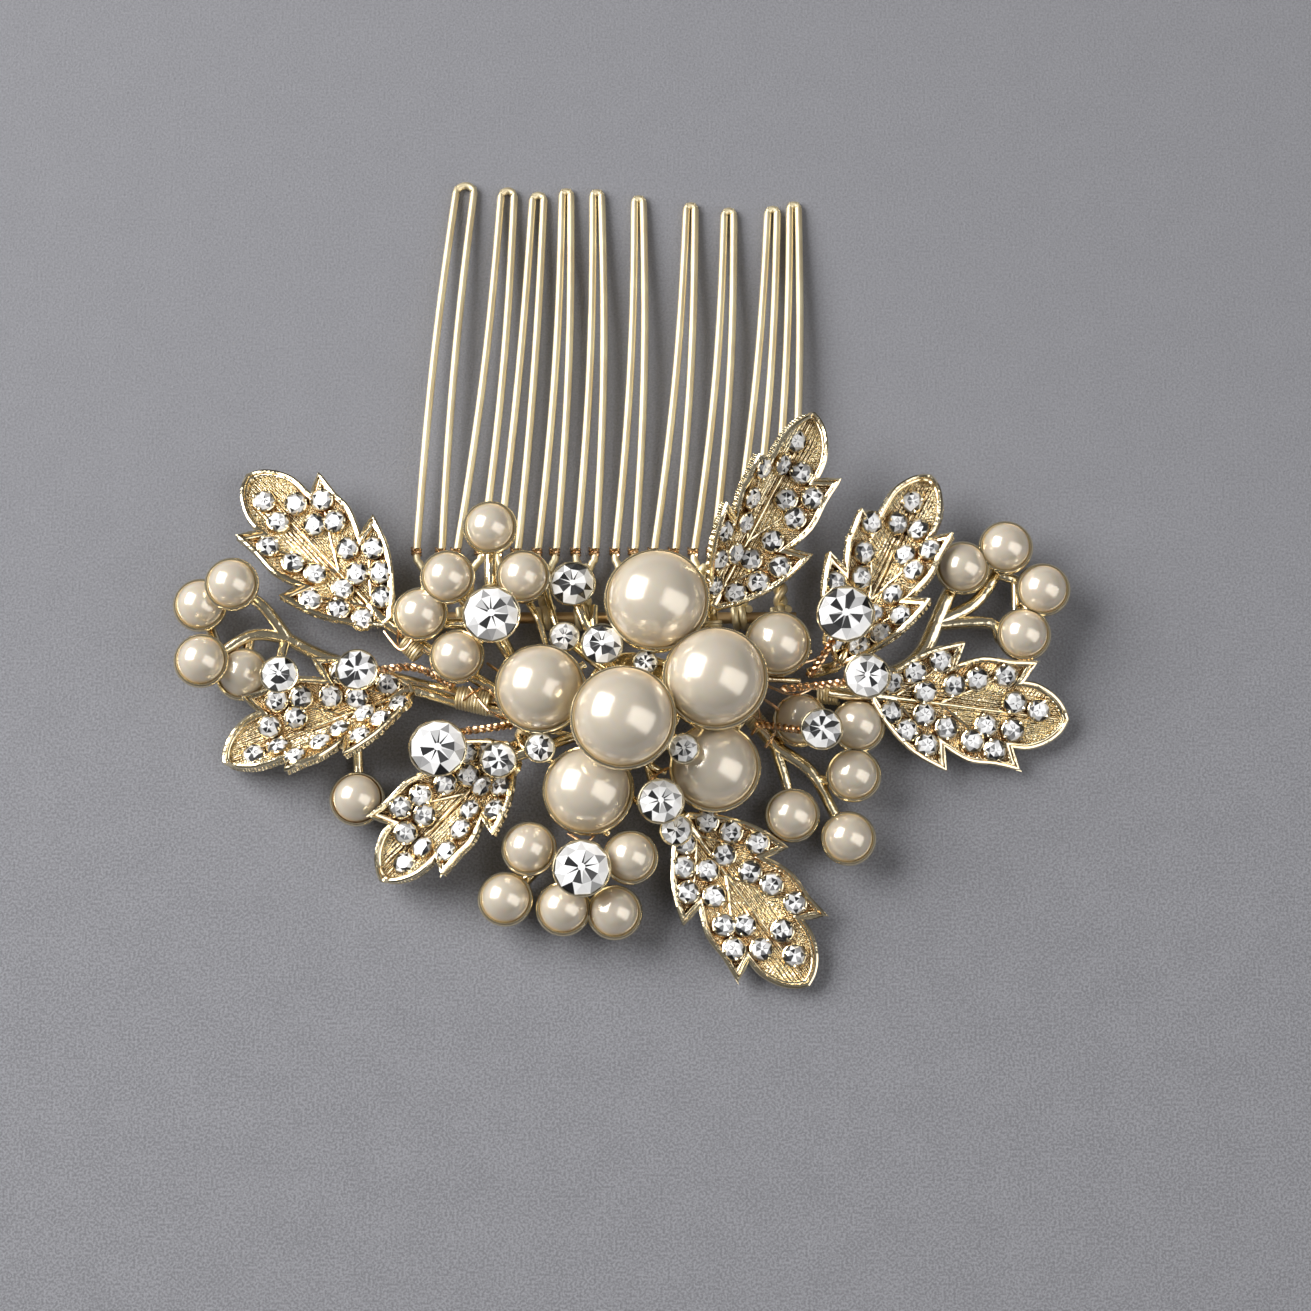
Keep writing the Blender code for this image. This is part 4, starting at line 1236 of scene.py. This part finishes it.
# %% Twigs between the pearls
TWIG_RADIUS = 0.42
TWIGS = (
    ((-9.6, -2.6, 3.6), (-8.4, -5.0, 4.6), (-7.4, -8.4, 4.4)),
    ((-7.6, -1.6, 3.4), (-6.6, -5.4, 4.4), (-5.4, -8.6, 4.6)),
    ((-2.6, -3.6, 4.2), (-2.4, -6.4, 5.0), (-0.6, -8.6, 4.8)),
    ((-3.6, -9.8, 4.4), (-4.6, -10.8, 4.6), (-4.4, -12.6, 4.2)),
    ((3.6, -9.4, 4.6), (5.6, -9.8, 4.6), (7.0, -8.4, 4.4)),
    ((4.8, -10.6, 4.0), (6.4, -10.4, 4.4), (7.6, -9.4, 4.0)),
    ((-9.0, -16.8, 3.6), (-6.8, -17.0, 4.6), (-4.6, -17.4, 4.2)),
    ((-10.4, -17.2, 3.4), (-9.4, -19.0, 4.6), (-6.2, -20.4, 4.4)),
    ((2.2, -18.4, 4.4), (3.2, -20.6, 5.2), (4.8, -21.4, 4.8)),
    ((0.6, -22.6, 4.0), (1.8, -24.4, 4.8), (3.2, -24.2, 5.4)),
    ((11.6, -17.2, 3.8), (13.0, -15.2, 4.6), (12.8, -13.4, 4.4)),
    ((12.2, -10.8, 4.2), (14.6, -11.4, 4.8), (18.6, -11.6, 4.4)),
    ((12.6, -9.6, 3.8), (15.6, -9.2, 4.6), (19.8, -8.4, 4.2)),
    ((-1.0, -27.4, 3.2), (-2.8, -26.6, 3.6), (-4.6, -27.0, 3.4)),
)
twigs = Piece(cast_gold)
twigs.add(sweep([smooth_route(points, 8) for points in TWIGS], TWIG_RADIUS * MM, 12, 1.0, 0.7))
twigs.finish("centre_casting_twigs", "cast_gold", "centre_casting")
print("twigs:", len(TWIGS))

# %% [markdown]
# ## The table
# The comb lies on a sheet of grey card. A fine grain keeps the large plain area from looking
# painted, and it is made stronger towards the front.

# %% Card
CARD_DARK = (0.150, 0.150, 0.162, 1.0)
CARD_PALE = (0.240, 0.240, 0.257, 1.0)
GRAIN, CLOUD = 4200.0, 240.0
FAR, NEAR = 0.03, -0.06  # between these the grain grows stronger
card_paint = Paint("grey_card", Roughness=0.85)
depth = card_paint.node("ShaderNodeSeparateXYZ", {}, {0: card_paint.place()}, "Y")
nearness = depth.ramp(FAR, NEAR)
grain = card_paint.noise(GRAIN, 3.0) * 0.9 + card_paint.noise(CLOUD, 3.0) * 0.1
tone = (grain - 0.5) * (nearness * 3.2 + 1.8) + 0.5
card_paint.feed("Base Color", card_paint.mix(tone, CARD_DARK, CARD_PALE))
card_paint.bump(card_paint.noise(GRAIN, 3.0), 0.00012, 0.6)
card = bmesh.new()
bmesh.ops.create_grid(card, x_segments=1, y_segments=1, size=3.0)
card_mesh = mesh_of(card)
card_mesh.materials.append(card_paint.material)
put("card", card_mesh)
